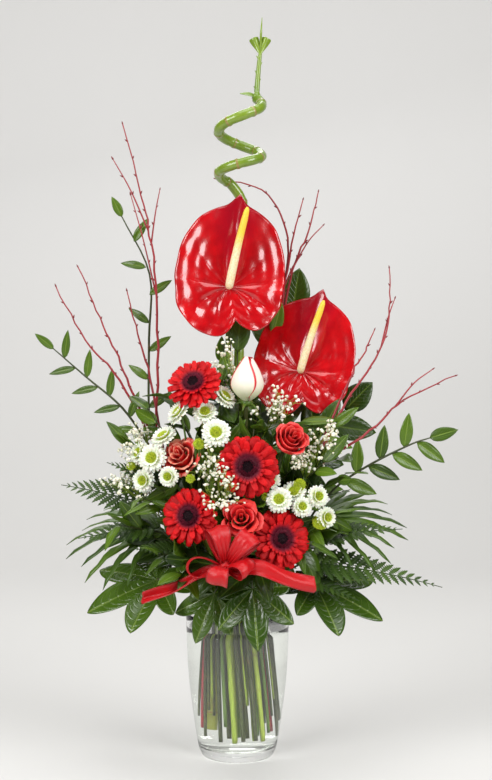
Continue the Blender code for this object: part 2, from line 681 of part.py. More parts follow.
def build_gerbera(name, place, lines):
    """One gerbera: two rings of rays on a green cup, its dark eye, and its stem."""
    matrix = facing_frame(place["at"], place["facing"])
    radius = place["radius"]
    cup = turned([(0.0, -6.0), (3.5, -6.0), (9.5, -1.0), (9.5, 2.6), (0.0, 2.6)], 7)
    outer = whorl(14, radius, OUTER_PETAL, lambda x, y: -0.6 - 2.5 * (x * x + y * y) / radius ** 2)
    inner = whorl(12, 0.80 * radius, INNER_PETAL, lambda x, y: 1.0 + 4.0 * (x * x + y * y) / radius ** 2, 0.2)
    add(f"{name}_rays", placed(fused([cup, outer, inner]), matrix), "petal_red")
    eye = turned([(0.0, 3.0), (8.6, 3.0), (8.4, 4.6), (6.4, 6.0), (0.0, 5.6)], 10)
    add(f"{name}_eye", placed(eye, matrix), "disc_maroon")
    add_stem(f"{name}_stem", name, lines)


def rose_cup(petals, columns, low_ring, ring, low, high, step, turn):
    """A ring of rose petals in one sheet: each swings outwards over the next and has a rounded edge."""
    def place(u, v):
        share = (u * petals) % 1.0 if u < 1 else 0.0
        angle = u * 2 * math.pi + turn
        swing = step * share * v
        edge = 1 - 0.16 * abs(2 * share - 0.9) ** 2
        radius = low_ring + (ring - low_ring) * v ** 0.8 + swing
        return Vector((radius * math.cos(angle), radius * math.sin(angle), low + (high - low) * v * edge))
    return sheet(columns * petals, 2, place, -0.8)


def build_rose(name, place, lines):
    """One rose: two rings of petals round a closed heart on a small hip, and its stem."""
    matrix = facing_frame(place["at"], place["facing"])
    radius, height, opened = place["radius"], place["height"], place["open"]
    hip = turned([(0.0, -6.0), (3.4, -6.0), (7.6, -1.0), (0.0, 4.0)], 6)
    heart = turned([(0.0, 1.0), (4.0, 2.0), (5.6, height * 0.5), (0.0, height * 0.9)], 5)
    inner = rose_cup(3, 2, 5.2, 7.4 + 2.2 * opened, 0.5, height * 0.92, 2.2, 0.6)
    outer = rose_cup(5, 2, 6.6, radius - 3.0, -0.5, height * (0.86 - 0.26 * opened), 3.2, 0.0)
    finish_name = "rose_cream" if name == "rose_bud" else "rose_red"
    add(f"{name}_bloom", placed(fused([hip, heart, inner, outer]), matrix), finish_name)
    add_stem(f"{name}_stem", name, lines)


MUM_RAYS = 14


def build_mum_head(name, place):
    """One small chrysanthemum head: long and short rays in turn round a domed button, in one solid."""
    radius = place["radius"]
    shape = bmesh.new()
    bmesh.ops.create_uvsphere(shape, u_segments=2 * MUM_RAYS, v_segments=4, radius=1)
    for vert in shape.verts:
        if abs(vert.co.z) > 0.99:
            vert.co = (0, 0, 4.8) if vert.co.z > 0 else (0, 0, -5)
            continue
        column = round(math.atan2(vert.co.y, vert.co.x) / math.pi * MUM_RAYS) % (2 * MUM_RAYS)
        angle = column * math.pi / MUM_RAYS
        ring, height = 0.36 * radius, 2.6 if vert.co.z > 0.1 else -1.2
        if abs(vert.co.z) < 0.1:
            long_ray, short_ray = column % 4 == 0, column % 4 == 2
            ring = radius * (1.0 if long_ray else 0.88 if short_ray else 0.66)
            height = 0.6 if long_ray else 3.6 if short_ray else 0.9
        vert.co = (ring * math.cos(angle), ring * math.sin(angle), height)
    matrix = facing_frame(place["at"], place["facing"])
    add(name, placed(closed_mesh(shape), matrix), "mum_white")


BUTTON_PROFILE = [(0.0, -0.6), (0.85, -0.3), (0.9, 0.3), (0.0, 0.7)]
BUTTON_FACING = (0.0, -0.85, 0.45)


def build_mum_spray(name, lines):
    """The branched stem of the small chrysanthemums with its green buttons."""
    pieces = []
    for line in lines.lines:
        if lines.families[line] == name:
            MADE.pop(f"{line} stem")
            pieces.append(tube(lines.path(line), lines.radii[line]))
    for place, radius in MUM_BUTTONS[name]:
        button = turned([(radius * ring, radius * height) for ring, height in BUTTON_PROFILE], 6)
        pieces.append(placed(button, facing_frame(place, BUTTON_FACING)))
    add(name, fused(pieces), "button_green")


def blade_leaf(length, width, fold, arch, rows=3, columns=2):
    """A pointed leaf along +Y with a fold at its midrib and an arched length."""
    def place(u, v):
        across = (u - 0.5) * 2
        half = width / 2 * math.sin(math.pi * v ** 0.8) ** 0.8 if 0 < v < 1 else 0
        x = across * half
        return Vector((x, length * v, fold * abs(x) - arch * length * v * v))
    return sheet(columns, rows, place)


def wobble(draw, spread):
    """A random offset, about as long as the spread."""
    return Vector((draw.gauss(0, 1), draw.gauss(0, 1), draw.gauss(0, 1))) * spread


def clear_blade(blade, start, heading, facing):
    """The blade laid from a place along a heading, and turned little by little until it crosses nothing."""
    draw = random.Random(SEED)
    for attempt in range(300):
        spread = 0.006 * attempt
        forward = unit(heading) + wobble(draw, spread)
        laid = placed(blade.copy(), frame(start, forward, unit(facing) + wobble(draw, spread)))
        if is_clear(laid):
            return laid
    return laid


def clear_tube(start, end, radii, draw):
    """A curved tube from start to end that is swayed aside until it crosses nothing, with its path."""
    for attempt in range(120):
        middle = start.lerp(end, 0.5) + wobble(draw, 0.35 * attempt)
        path = smooth_path([start, middle, end], 2)
        mesh = tube(path, [radii[0] + (radii[1] - radii[0]) * i / (len(path) - 1) for i in range(len(path))])
        if is_clear(mesh):
            return path, mesh
    return path, mesh


def stem_path(name, lines, onward=()):
    """A node's own stem from its foot up, led on through more places."""
    MADE.pop(f"{name} stem", None)
    return lines.path(name) + [Vector(p) for p in onward]


def cone(start, heading, length, low_radius, high_radius):
    """A closed three-sided cone from a place along a heading."""
    shape = bmesh.new()
    bmesh.ops.create_cone(shape, cap_ends=True, segments=3, radius1=low_radius, radius2=high_radius,
                          depth=length, matrix=Matrix.Translation((0, 0, length / 2)))
    return placed(closed_mesh(shape), facing_frame(start, heading))


# Clouds of gypsophila: the middle and the number of florets of each cluster of a spray.
GYPSOPHILA = {
    "gypsophila_upper": [((48, -58, 392), 6), ((-8, -36, 432), 4)],
    "gypsophila_right": [((94, -60, 350), 6), ((70, -72, 334), 4)],
    "gypsophila_left": [((-114, -60, 308), 6), ((-106, -46, 346), 4)],
    "gypsophila_front": [((-30, -96, 326), 5), ((-14, -106, 300), 4)],
}
FLORET_STALK = 13.0
FLORET_RADIUS = 2.3


def build_gypsophila(name, lines):
    """One spray of gypsophila: thin forked stems that end in small trumpet florets."""
    draw = random.Random(SEED)
    trunk = stem_path(name, lines)
    pieces = [tube(trunk, lines.radii[name])]
    for middle, florets in GYPSOPHILA[name]:
        path, mesh = clear_tube(trunk[-1], Vector(middle), (1.0, 0.7), draw)
        pieces.append(mesh)
        for number in range(florets):
            at, heading = along_path(path, 0.5 + 0.49 * (number + 0.5) / florets)
            for _ in range(20):
                around = Vector((draw.gauss(0, 1), draw.gauss(-0.5, 1), draw.gauss(0.5, 1)))
                stalk = FLORET_STALK * draw.uniform(0.8, 1.2)
                floret = cone(at, around + heading, stalk, 0.45, FLORET_RADIUS)
                if is_clear(floret):
                    pieces.append(floret)
                    break
    add(name, fused(pieces), "gypsophila_white")


# Red twigs: each list is one shoot through its places, the first on the bunch's own stem.
TWIGS = {
    "twigs_left": [
        [(-88, 2, 473), (-94, 2, 567), (-105, 0, 620), (-125, -5, 698)],
        [(-111, -25, 398), (-129, -30, 444), (-148, -35, 487), (-171, -40, 542)],
        [(-127, -38, 420), (-163, -48, 464), (-193, -55, 521)],
        [(-97, 14, 420), (-111, 14, 470), (-122, 10, 516)],
    ],
    "twigs_right": [
        [(118, -45, 398), (149, -40, 444), (164, -32, 490), (164, -30, 541)],
        [(140, -72, 368), (176, -75, 401), (230, -75, 427)],
        [(117, -34, 412), (136, -28, 447), (149, -20, 474)],
    ],
    "twigs_back": [
        [(54, 46, 530), (55, 45, 585), (27, 40, 629), (-24, 34, 641)],
        [(62, 48, 540), (80, 50, 585), (91, 60, 628)],
        [(58, 42, 556), (73, 40, 618)],
    ],
}
# Side shoots of the twigs: the shoot they leave, how far along it, and their tips.
SIDE_TWIGS = {
    "twigs_left": [(0, 0.66, (-135, -10, 659)), (0, 0.62, (-86, 20, 628)), (0, 0.45, (-118, 20, 622))],
    "twigs_right": [(0, 0.62, (171, -20, 508)), (1, 0.62, (206, -78, 434))],
    "twigs_back": [(0, 0.22, (71, 44, 556)), (1, 0.5, (96, 54, 590))],
}
BUD_SPACING = 110.0
FORK_SPACING = 0.035


def build_twigs(name, lines):
    """One bunch of red twigs with their side shoots and buds."""
    trunk = stem_path(name, lines)
    pieces = [tube(trunk, lines.radii[name])]
    shoots = []
    for number, places in enumerate(TWIGS[name]):
        fork, _ = along_path(trunk, 1 - FORK_SPACING * number)
        path = [fork] + [Vector(p) for p in places]
        shoots.append(path)
        pieces.append(tube(path, [1.6 - 0.9 * i / (len(path) - 1) for i in range(len(path))]))
    for shoot, share, tip in SIDE_TWIGS[name]:
        at, _ = along_path(shoots[shoot], share)
        pieces.append(tube([at, at.lerp(Vector(tip), 0.5) + Vector((0, 0, 5)), Vector(tip)], [1.1, 0.9, 0.6]))
        shoots.append([at, Vector(tip)])
    for path in shoots[:len(TWIGS[name])]:
        length = sum((b - a).length for a, b in zip(path, path[1:]))
        for number in range(1, int(length / BUD_SPACING)):
            at, heading = along_path(path, number * BUD_SPACING / length)
            side = heading.cross(Vector((0, 1, 0))).normalized() * (1 if number % 2 else -1)
            pieces.append(cone(at, side + heading * 1.4, 4.6, 1.3, 0.5))
    add(name, fused(pieces), "twig_bark")


# Leafy stems: places after the stem's own top, number of leaves, their length, width and finish.
LEAFY = {
    "ruscus_left": dict(onward=[(-125, -30, 390), (-163, -40, 424), (-197, -50, 455)], columns=1, leaves=10,
                        length=31, width=9, finish="leaf_green"),
    "ruscus_high": dict(onward=[(-99, 28, 462), (-98, 26, 535), (-128, 14, 599)], columns=1, leaves=8,
                        length=30, width=10, finish="leaf_green"),
    "ruscus_right": dict(onward=[(149, -32, 331), (188, -45, 352), (207, -50, 359)], columns=1, leaves=8,
                         length=38, width=15, finish="leaf_green"),
    "salal_back": dict(onward=[(40, 66, 380), (54, 62, 440), (62, 60, 492)], columns=2, leaves=5,
                       length=62, width=34, finish="leaf_dark"),
    "salal_side": dict(onward=[(100, 26, 362), (120, 22, 384)], columns=2, leaves=4,
                       length=52, width=30, finish="leaf_dark"),
}


def build_leafy(name, lines):
    """One leafy stem with alternate leaves, each turned until it crosses nothing."""
    kind = LEAFY[name]
    draw = random.Random(SEED)
    path = stem_path(name, lines, kind["onward"])
    upper = path[STEM_POINTS:]
    radii = [lines.radii[name]] * (STEM_POINTS + 1) + [1.2, 0.9, 0.7][:len(kind["onward"])]
    pieces = [tube(path, radii)]
    for number in range(kind["leaves"]):
        share = 0.06 + 0.94 * number / (kind["leaves"] - 1)
        at, heading = along_path(upper, min(share, 0.995))
        sideways = heading.cross(Vector((0.15, 1, 0.1))).normalized() * (1 if number % 2 else -1)
        if number == kind["leaves"] - 1:
            sideways = Vector((0, 0, 0))
        for attempt in range(40):
            wander = wobble(draw, 0.06 * attempt)
            outward = sideways + heading * 0.75 + wander
            size = 1.0 if share < 0.9 else 0.85
            leaf = blade_leaf(kind["length"] * size, kind["width"], 0.22, 0.10, columns=kind["columns"])
            facing = Vector((0, -1, 0.35)) + wander
            leaf = placed(leaf, frame(at, outward, facing))
            if is_clear(leaf):
                pieces.append(leaf)
                break
    add(name, fused(pieces), kind["finish"])


# Half the width of a fern's midrib.
RIB = 0.9


def frond_outline(length, width, leaflets):
    """Outline of a fern blade whose leaflets are cut almost to the rib, each with a tooth."""
    side = [(RIB, 0.0)]
    step = length * 0.86 / leaflets
    for number in range(leaflets):
        y = length * 0.12 + number * step
        share = number / leaflets
        reach = width / 2 * (1 - share) ** 0.7 * min(1.0, 0.72 + 2.2 * share)
        lean = math.radians(28 + 25 * share)
        out = Vector((math.cos(lean), math.sin(lean)))
        half = Vector((out.y, -out.x)) * 0.30 * step
        root = Vector((RIB, y))
        tip = root + out * reach
        leaflet = [root, root.lerp(tip, 0.5) + half, tip, root.lerp(tip, 0.55) - half]
        side += [tuple(corner) for corner in leaflet] + [(RIB, y + 0.72 * step)]
    return side + [(0.0, length)] + [(-x, y) for x, y in reversed(side)]


def palm_outline(length, fingers, spread):
    """Outline of a palm leaf: long narrow fingers that part near the stalk."""
    outline = [(1.6, 0.0)]
    for number in range(fingers):
        angle = spread * (1 - 2 * number / (fingers - 1))
        reach = length * (0.72 + 0.28 * math.cos(angle * 0.9))
        gap = spread / (fingers - 1)
        for turn, share in ((gap * 0.94, 0.24), (gap * 0.30, 0.62), (0.0, 1.0), (-gap * 0.30, 0.62)):
            far = reach * share
            outline.append((far * math.sin(angle + turn), 2 + far * math.cos(angle + turn)))
    return outline + [(-1.6, 0.0)]


# Fronds: kind of outline, length, and width or number of fingers, placed at the stem's top.
FRONDS = {
    "fern_left": [((-90, -42, 284), (-0.9, -0.30, 0.42), 104, 78)],
    "fern_right": [((72, -58, 226), (1, -0.24, 0.10), 150, 70)],
}
PALMS = {
    "palm_left": dict(heading=(-1, -0.18, 0.22), facing=(-0.25, -0.55, 1), length=132, fingers=10),
    "palm_right": dict(heading=(1, -0.14, 0.20), facing=(0.25, -0.55, 1), length=124, fingers=10),
}
# Lobed leaves: where each heads from its stalk, the way its upper side faces, and its length.
ARALIAS = {
    "aralia_front_left": dict(heading=(-0.40, -0.40, -0.75), facing=(-0.2, -0.85, 0.5), length=78),
    "aralia_front_right": dict(heading=(0.24, -0.30, -0.88), facing=(0.15, -0.85, 0.4), length=92),
    "aralia_left": dict(heading=(-0.93, -0.36, -0.10), facing=(-0.2, -0.6, 0.8), length=112),
    "aralia_right": dict(heading=(0.90, -0.42, -0.12), facing=(0.2, -0.6, 0.8), length=112),
}
LOBE_LENGTHS = [(0, 0.72), (45, 0.62), (90, 0.44), (135, 0.37), (165, 0.31), (180, 0.24)]
LOBES = 8
LEAF_MIDDLE = 0.28


def lobed_leaf(length):
    """A broad leaf with eight pointed lobes round its stalk, drooping towards its edge."""
    def place(u, v):
        angle = (u - 0.5) * 2 * math.pi
        lobe = 0.80 + 0.20 * math.cos(LOBES * angle) if abs(angle) < 3 else 1.0
        reach = length * lobe * np.interp(abs(math.degrees(angle)), *zip(*LOBE_LENGTHS)) * v
        x, y = reach * math.sin(angle), reach * math.cos(angle)
        y += LEAF_MIDDLE * length
        return Vector((x, y, 3.0 * math.cos(LOBES * angle) * v * (1 - v) - 0.0016 * (x * x + y * y)))
    return sheet(4 * LOBES, 2, place)


def build_fronds(name, lines):
    """The fern fronds of one stem."""
    pieces = [tube(stem_path(name, lines), lines.radii[name])]
    for at, heading, length, width in FRONDS[name]:
        outline = frond_outline(length, width, 7)
        blade = cut_sheet(outline, lambda x, y: 0.10 * abs(x) - 0.0010 * y * y)
        start = Vector(at) - unit(heading) * 1.5
        pieces.append(clear_blade(blade, start, heading, (0.1 * heading[0], -0.62, 0.78)))
    add(name, fused(pieces), "leaf_dark")


def build_palm(name, lines):
    """One palm leaf on its stalk."""
    kind = PALMS[name]
    path = stem_path(name, lines)
    blade = cut_sheet(palm_outline(kind["length"], kind["fingers"], math.radians(62)),
                      lambda x, y: -0.0016 * (x * x + y * y))
    blade = clear_blade(blade, path[-1] - unit(kind["heading"]) * 1.5, kind["heading"], kind["facing"])
    add(name, fused([tube(path, lines.radii[name]), blade]), "leaf_dark")


def build_aralia(name, lines):
    """One lobed leaf on its stalk."""
    kind = ARALIAS[name]
    path = stem_path(name, lines)
    stalk_end = path[-1] - unit(kind["heading"]) * 0.08 * kind["length"]
    blade = clear_blade(lobed_leaf(kind["length"]), stalk_end, kind["heading"], kind["facing"])
    add(name, fused([tube(path, lines.radii[name]), blade]), "leaf_green")


RIBBON_WIDTH = 24.0
RIBBON_THICKNESS = 0.8
BOW_KNOT = (-12, -116, 229)
# Where the bow's collar sits, as a share of the stem's length from its foot.
TIE_PLACE = 0.9
# Loops of the bow: the way each stands out from the knot, the side it opens to, its length and height.
BOW_LOOPS = [((-0.25, -0.12, 1), (1, 0, 0.2), 42, 15), ((0.45, -0.45, 0.8), (-1, 0, 0.5), 33, 15),
             ((-1, -0.15, 0.05), (0, 0.1, 1), 40, 16), ((-0.2, -0.75, -0.35), (0.1, -0.3, 1), 24, 13)]
BOW_TAILS = [[(-34, -116, 224), (-70, -118, 206), (-101, -112, 197)],
             [(20, -124, 232), (50, -126, 221), (84, -122, 211)]]


def bow_loop(knot, outward, opening, length, height):
    """One loop of the bow: a ribbon that leaves the knot, turns over and comes back."""
    along = unit(outward)
    lift = (Vector(opening) - along * Vector(opening).dot(along)).normalized()
    across = along.cross(lift)

    def place(u, v):
        turn = math.pi * (0.05 + 0.90 * v)
        width = RIBBON_WIDTH * (0.2 + 0.8 * math.sin(turn))
        return (knot + along * (length * math.sin(turn)) - lift * (height * math.sin(2 * turn) * 0.6)
                + across * ((u - 0.5) * width))
    return sheet(1, 6, place, RIBBON_THICKNESS)


def bow_tail(knot, places):
    """One tail of the bow, which leaves the knot gathered and soon has its full width."""
    path = smooth_path([knot] + places, 2)

    def place(u, v):
        at, heading = along_path(path, v)
        across = (Vector((0, 0, 1)) - heading * heading.z).normalized()
        return at + across * ((u - 0.5) * RIBBON_WIDTH * min(1.0, 0.3 + 4 * v))
    return sheet(1, 5, place, RIBBON_THICKNESS)


def bow_tie(knot, stem, radius):
    """A collar of ribbon round a stem, and the strand that holds the knot to it."""
    at, heading = along_path(stem, TIE_PLACE)
    ring = facing_frame(at, heading)
    reach = radius + 2.6 * GAP

    def place(u, v):
        angle = u * 2 * math.pi
        return ring @ Vector((reach * math.cos(angle), reach * math.sin(angle), (v - 0.5) * 5))
    strand = tube([at + (knot - at).normalized() * (reach + 0.4), knot], [1.6, 3.0])
    return [sheet(6, 1, place, -1.0), strand]


def build_bow(lines):
    """The ribbon bow: four loops and two tails round a knot, tied to the stem of the low rose."""
    knot = Vector(BOW_KNOT)
    middle = turned([(0.0, -10.0), (8.0, -7.5), (8.0, 7.5), (0.0, 10.0)], 6)
    pieces = [placed(middle, Matrix.Translation(knot))]
    pieces += [bow_loop(knot, *loop) for loop in BOW_LOOPS]
    pieces += [bow_tail(knot, tail) for tail in BOW_TAILS]
    pieces += bow_tie(knot, lines.path("rose_low"), lines.radii["rose_low"])
    add("ribbon_bow", fused(pieces), "ribbon_red")


def main():
    build_vase()
    stems = plan_stems()
    build_water(stems)
    build_bamboo(stems)
    for name, place in ANTHURIUMS.items():
        build_anthurium(name, place, stems)
    for name, place in GERBERAS.items():
        build_gerbera(name, place, stems)
    for name, place in ROSES.items():
        build_rose(name, place, stems)
    for name, place in MUM_HEADS.items():
        build_mum_head(name, place)
    for name in MUM_BUTTONS:
        build_mum_spray(name, stems)
    build_bow(stems)
    for name in ARALIAS:
        build_aralia(name, stems)
    for name in TWIGS:
        build_twigs(name, stems)
    for name in PALMS:
        build_palm(name, stems)
    for name in FRONDS:
        build_fronds(name, stems)
    for name in LEAFY:
        build_leafy(name, stems)
    for name in GYPSOPHILA:
        build_gypsophila(name, stems)


for leftover in list(bpy.data.objects):
    bpy.data.objects.remove(leftover)
BOUQUET = bpy.data.collections.new("anthuriums_in_a_vase")
bpy.context.scene.collection.children.link(BOUQUET)
main()
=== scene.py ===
# %% [markdown]
# # Anthuriums in a glass vase
# The imported part already holds every stem, bloom and leaf at its real place and size, as coarse
# solids. This lesson gives each of them its fine surface: it loads the solids, models a petal, a
# leaf or a floret, and copies it to where the solids say that it grows.

import json
import math
import random

import bmesh
import bpy
import numpy as np
from mathutils import Matrix, Vector

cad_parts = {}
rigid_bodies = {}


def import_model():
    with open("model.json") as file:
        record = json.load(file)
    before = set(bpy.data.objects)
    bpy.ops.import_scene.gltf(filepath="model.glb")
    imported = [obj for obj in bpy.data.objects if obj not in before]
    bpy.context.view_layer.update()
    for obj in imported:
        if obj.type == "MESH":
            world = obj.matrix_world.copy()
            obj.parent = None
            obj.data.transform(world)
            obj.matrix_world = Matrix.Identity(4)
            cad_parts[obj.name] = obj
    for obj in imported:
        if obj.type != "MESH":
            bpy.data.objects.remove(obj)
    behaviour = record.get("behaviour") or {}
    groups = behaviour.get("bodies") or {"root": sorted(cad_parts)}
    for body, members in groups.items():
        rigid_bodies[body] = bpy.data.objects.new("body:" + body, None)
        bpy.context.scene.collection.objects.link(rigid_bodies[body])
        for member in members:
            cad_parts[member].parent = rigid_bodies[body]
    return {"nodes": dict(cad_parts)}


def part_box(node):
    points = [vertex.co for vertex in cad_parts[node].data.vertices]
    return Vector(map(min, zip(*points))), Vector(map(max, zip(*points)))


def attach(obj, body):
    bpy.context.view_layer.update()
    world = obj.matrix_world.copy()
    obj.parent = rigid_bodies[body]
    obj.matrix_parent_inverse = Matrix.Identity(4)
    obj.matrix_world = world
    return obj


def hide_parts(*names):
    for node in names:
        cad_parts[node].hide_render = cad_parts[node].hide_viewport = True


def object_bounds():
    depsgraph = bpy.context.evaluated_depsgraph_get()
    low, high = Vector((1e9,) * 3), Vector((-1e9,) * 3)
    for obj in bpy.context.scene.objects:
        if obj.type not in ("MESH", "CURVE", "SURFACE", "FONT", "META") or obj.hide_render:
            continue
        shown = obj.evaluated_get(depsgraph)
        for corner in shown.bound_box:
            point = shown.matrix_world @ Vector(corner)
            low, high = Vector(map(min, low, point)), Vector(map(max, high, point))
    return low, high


for leftover in list(bpy.data.objects):
    bpy.data.objects.remove(leftover)
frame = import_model()
nodes = frame["nodes"]
solid_low, solid_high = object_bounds()
print("solids:", len(nodes), "nodes,", [round(1000 * side) for side in solid_high - solid_low], "mm")

# %% [markdown]
# The camera stands 1.85 m in front of the bouquet, a little above its middle, and looks slightly
# down. A long lens keeps the vase's walls nearly parallel, as in a product picture.

# %% Camera
CAMERA_PLACE = (0.00935, -1.850, 0.520)
CAMERA_DIP = math.radians(3.48)
LENS_MM = 77.6

bpy.ops.object.camera_add(location=CAMERA_PLACE, rotation=(math.pi / 2 - CAMERA_DIP, 0, 0))
camera = bpy.context.object
camera.data.lens = LENS_MM
camera.data.sensor_width = 36
bpy.context.scene.camera = camera
print("camera at", CAMERA_PLACE)

# %% [markdown]
# A studio sweep is a floor that curves up into a wall, so that no line shows behind the flowers.
# It is one plane: its back edge is extruded, and the corner is bevelled round.

# %% Studio sweep
SWEEP_HALF = 3.0
SWEEP_BACK = 2.2


def select(test):
    """In edit mode, select just the points whose place passes a test."""
    bpy.ops.mesh.select_all(action="DESELECT")
    mesh = bmesh.from_edit_mesh(bpy.context.object.data)
    for vert in mesh.verts:
        vert.select_set(bool(test(vert.co)))
    mesh.select_flush(True)
    bmesh.update_edit_mesh(bpy.context.object.data)


bpy.ops.object.select_all(action="DESELECT")
bpy.ops.mesh.primitive_plane_add(size=2 * SWEEP_HALF, location=(0, SWEEP_BACK - SWEEP_HALF, 0))
sweep = bpy.context.object
sweep.name = "studio_sweep"
bpy.ops.object.transform_apply(location=True, rotation=True, scale=True)
bpy.ops.object.mode_set(mode="EDIT")
bpy.ops.mesh.select_mode(type="VERT")
select(lambda place: place.y > SWEEP_BACK - 0.1)
bpy.ops.mesh.extrude_edges_move(TRANSFORM_OT_translate=dict(value=(0, 0, 3.2)))
select(lambda place: place.y > SWEEP_BACK - 0.1 and place.z < 0.1)
bpy.ops.mesh.bevel(offset=1.0, segments=16, affect="EDGES")
bpy.ops.object.mode_set(mode="OBJECT")
bpy.ops.object.shade_smooth()
print("sweep:", len(sweep.data.polygons), "faces")

# %% [markdown]
# The light is soft and comes from both sides and above, with a wide pale surround. The two big
# panels are what shows as white streaks on the lacquered spathes and on the glass.

# %% Lights
PANELS = [
    ("left_panel", (-1.5, -1.5, 1.5), 1.1, 40.0),
    ("right_panel", (1.5, -1.3, 1.4), 1.0, 32.0),
    ("top_panel", (0.1, -0.2, 2.1), 1.3, 16.0),
    ("back_panel", (-0.3, 1.4, 1.7), 1.2, 11.0),
]
AIM = Vector((0, 0, 0.42))

for name, place, size, power in PANELS:
    bpy.ops.object.light_add(type="AREA", location=place)
    panel = bpy.context.object
    panel.name = name
    panel.rotation_euler = (AIM - Vector(place)).to_track_quat("-Z", "Y").to_euler()
    panel.data.shape = "SQUARE"
    panel.data.size = size
    panel.data.energy = power

world = bpy.data.worlds.new("studio")
bpy.context.scene.world = world
world.use_nodes = True
world.node_tree.nodes["Background"].inputs["Color"].default_value = (1.0, 0.985, 0.965, 1)
world.node_tree.nodes["Background"].inputs["Strength"].default_value = 0.34
world.cycles_visibility.glossy = False
bpy.context.scene.view_settings.view_transform = "Standard"
print("lights:", len(PANELS))

# %% [markdown]
# Finishes are node materials. To write their sums as sums, a small class wraps a socket: adding
# or multiplying two of these adds the Math node that does it. Every other node comes from one
# method, which takes the node's type, its settings and what feeds its sockets.

# %% A material as sums of sockets


class Value:
    """A socket whose value can be used in sums."""

    def __init__(self, finish, socket):
        self.finish, self.socket = finish, socket

    def maths(self, operation, first, second=0.0, clamp=False):
        settings = dict(operation=operation, use_clamp=clamp)
        return self.finish.node("Math", settings, {0: first, 1: second})

    def __add__(self, other):
        return self.maths("ADD", self, other)

    __radd__ = __add__

    def __sub__(self, other):
        return self.maths("SUBTRACT", self, other)

    def __rsub__(self, other):
        return self.maths("SUBTRACT", other, self)

    def __mul__(self, other):
        return self.maths("MULTIPLY", self, other)

    __rmul__ = __mul__

    def __truediv__(self, other):
        return self.maths("DIVIDE", self, other)

    def __pow__(self, other):
        return self.maths("POWER", self, other)

    def __abs__(self):
        return self.maths("ABSOLUTE", self)

    def sine(self):
        return self.maths("SINE", self)

    def clamped(self):
        return self.maths("ADD", self, 0.0, clamp=True)

    def between(self, low, high):
        """0 below low, 1 above high and smooth in between."""
        settings = dict(interpolation_type="SMOOTHSTEP")
        sockets = {"Value": self, "From Min": low, "From Max": high}
        return self.finish.node("MapRange", settings, sockets)


class Finish:
    """A material in the making: its Principled shader and the nodes that feed it."""

    def __init__(self, name, **constants):
        self.material = bpy.data.materials.new(name)
        self.material.use_nodes = True
        self.tree = self.material.node_tree
        self.shader = self.tree.nodes["Principled BSDF"]
        for socket, value in constants.items():
            self.set(socket.replace("_", " "), value)

    def feed(self, socket, value):
        if isinstance(value, Value):
            self.tree.links.new(value.socket, socket)
        elif isinstance(value, tuple) and len(value) == 3 and socket.type == "RGBA":
            socket.default_value = (*value, 1)
        else:
            socket.default_value = value

    def set(self, socket, value):
        self.feed(self.shader.inputs[socket], value)
        return self

    def node(self, kind, settings=None, sockets=None, output=0):
        """Any node, with its settings made first and its sockets fed next."""
        made = self.tree.nodes.new("ShaderNode" + kind)
        for key, value in (settings or {}).items():
            setattr(made, key, value)
        for key, value in (sockets or {}).items():
            self.feed(made.inputs[key], value)
        return Value(self, made.outputs[output])

    def mix(self, share, first, second):
        """Two colours mixed."""
        return self.node("Mix", dict(data_type="RGBA"), {0: share, 6: first, 7: second}, output=2)

    def place(self):
        return self.node("TexCoord", output="Object")

    def noise(self, scale, detail=3.0, place=None):
        sockets = {"Vector": place or self.place(), "Scale": scale, "Detail": detail}
        return self.node("TexNoise", sockets=sockets)

    def field(self, name):
        """A number that the mesh carries on its points."""
        return self.node("Attribute", dict(attribute_name=name), output="Fac")

    def across_and_along(self):
        """The two numbers of the piece's own UV map."""
        both = self.node("SeparateXYZ", sockets={"Vector": self.node("UVMap")})
        return both, Value(self, both.socket.node.outputs["Y"])

    def relief(self, height, depth, strength=1.0):
        """Raise the surface by a height from 0 to 1, times a depth in metres."""
        sockets = {"Height": height, "Distance": depth, "Strength": strength}
        return self.set("Normal", self.node("Bump", sockets=sockets))


sweep_finish = Finish("pale_paper", Roughness=0.75)
grain = sweep_finish.noise(3.0)
sweep_height = sweep_finish.node("SeparateXYZ", sockets={"Vector": sweep_finish.place()}, output="Z")
# The paper is painted darker on the floor and lighter up the wall: painted shade on the floor, where less light falls
# than on the wall.
paper_with_painted_floor_shade = sweep_finish.mix(sweep_height.between(0.0, 0.9), (0.62, 0.615, 0.60), (0.80, 0.795, 0.785))
sweep_finish.set("Base Color", sweep_finish.mix(grain * 0.25, paper_with_painted_floor_shade, (0.70, 0.69, 0.67)))
sweep.data.materials.append(sweep_finish.material)
print("first finish:", sweep_finish.material.name)

# %% [markdown]
# Pieces are modelled in millimetres round their own root, lying along +Y with the upper side up,
# and are shrunk to metres when they are put in place. These helpers hold the steps that every
# piece goes through: being laid somewhere, rounded off, copied, joined and given its finish.

# %% Helpers for laying, rounding and copying
MM = 0.001
TO_METRES = Matrix.Scale(MM, 4)


def laid(at, along, facing):
    """Where a piece goes: its root, where its +Y points and what its upper side turns to."""
    forward = Vector(along).normalized()
    across = forward.cross(Vector(facing)).normalized()
    turn = Matrix((across, forward, across.cross(forward))).transposed()
    return Matrix.Translation(Vector(at)) @ turn.to_4x4()


def looking(at, facing):
    """Where a bloom goes: its middle, and where its +Z looks, with +Y as upright as can be."""
    outward = Vector(facing).normalized()
    upright = Vector((0, 0, 1)) if abs(outward.z) < 0.95 else Vector((0, 1, 0))
    return laid(at, upright - outward * upright.dot(outward), outward)


def turned(degrees, axis="Z"):
    return Matrix.Rotation(math.radians(degrees), 4, axis)


def moved(x, y, z):
    return Matrix.Translation((x, y, z))


def only(*pieces):
    """Select just these pieces, the first one active."""
    bpy.ops.object.select_all(action="DESELECT")
    for piece in pieces:
        piece.select_set(True)
    bpy.context.view_layer.objects.active = pieces[0]


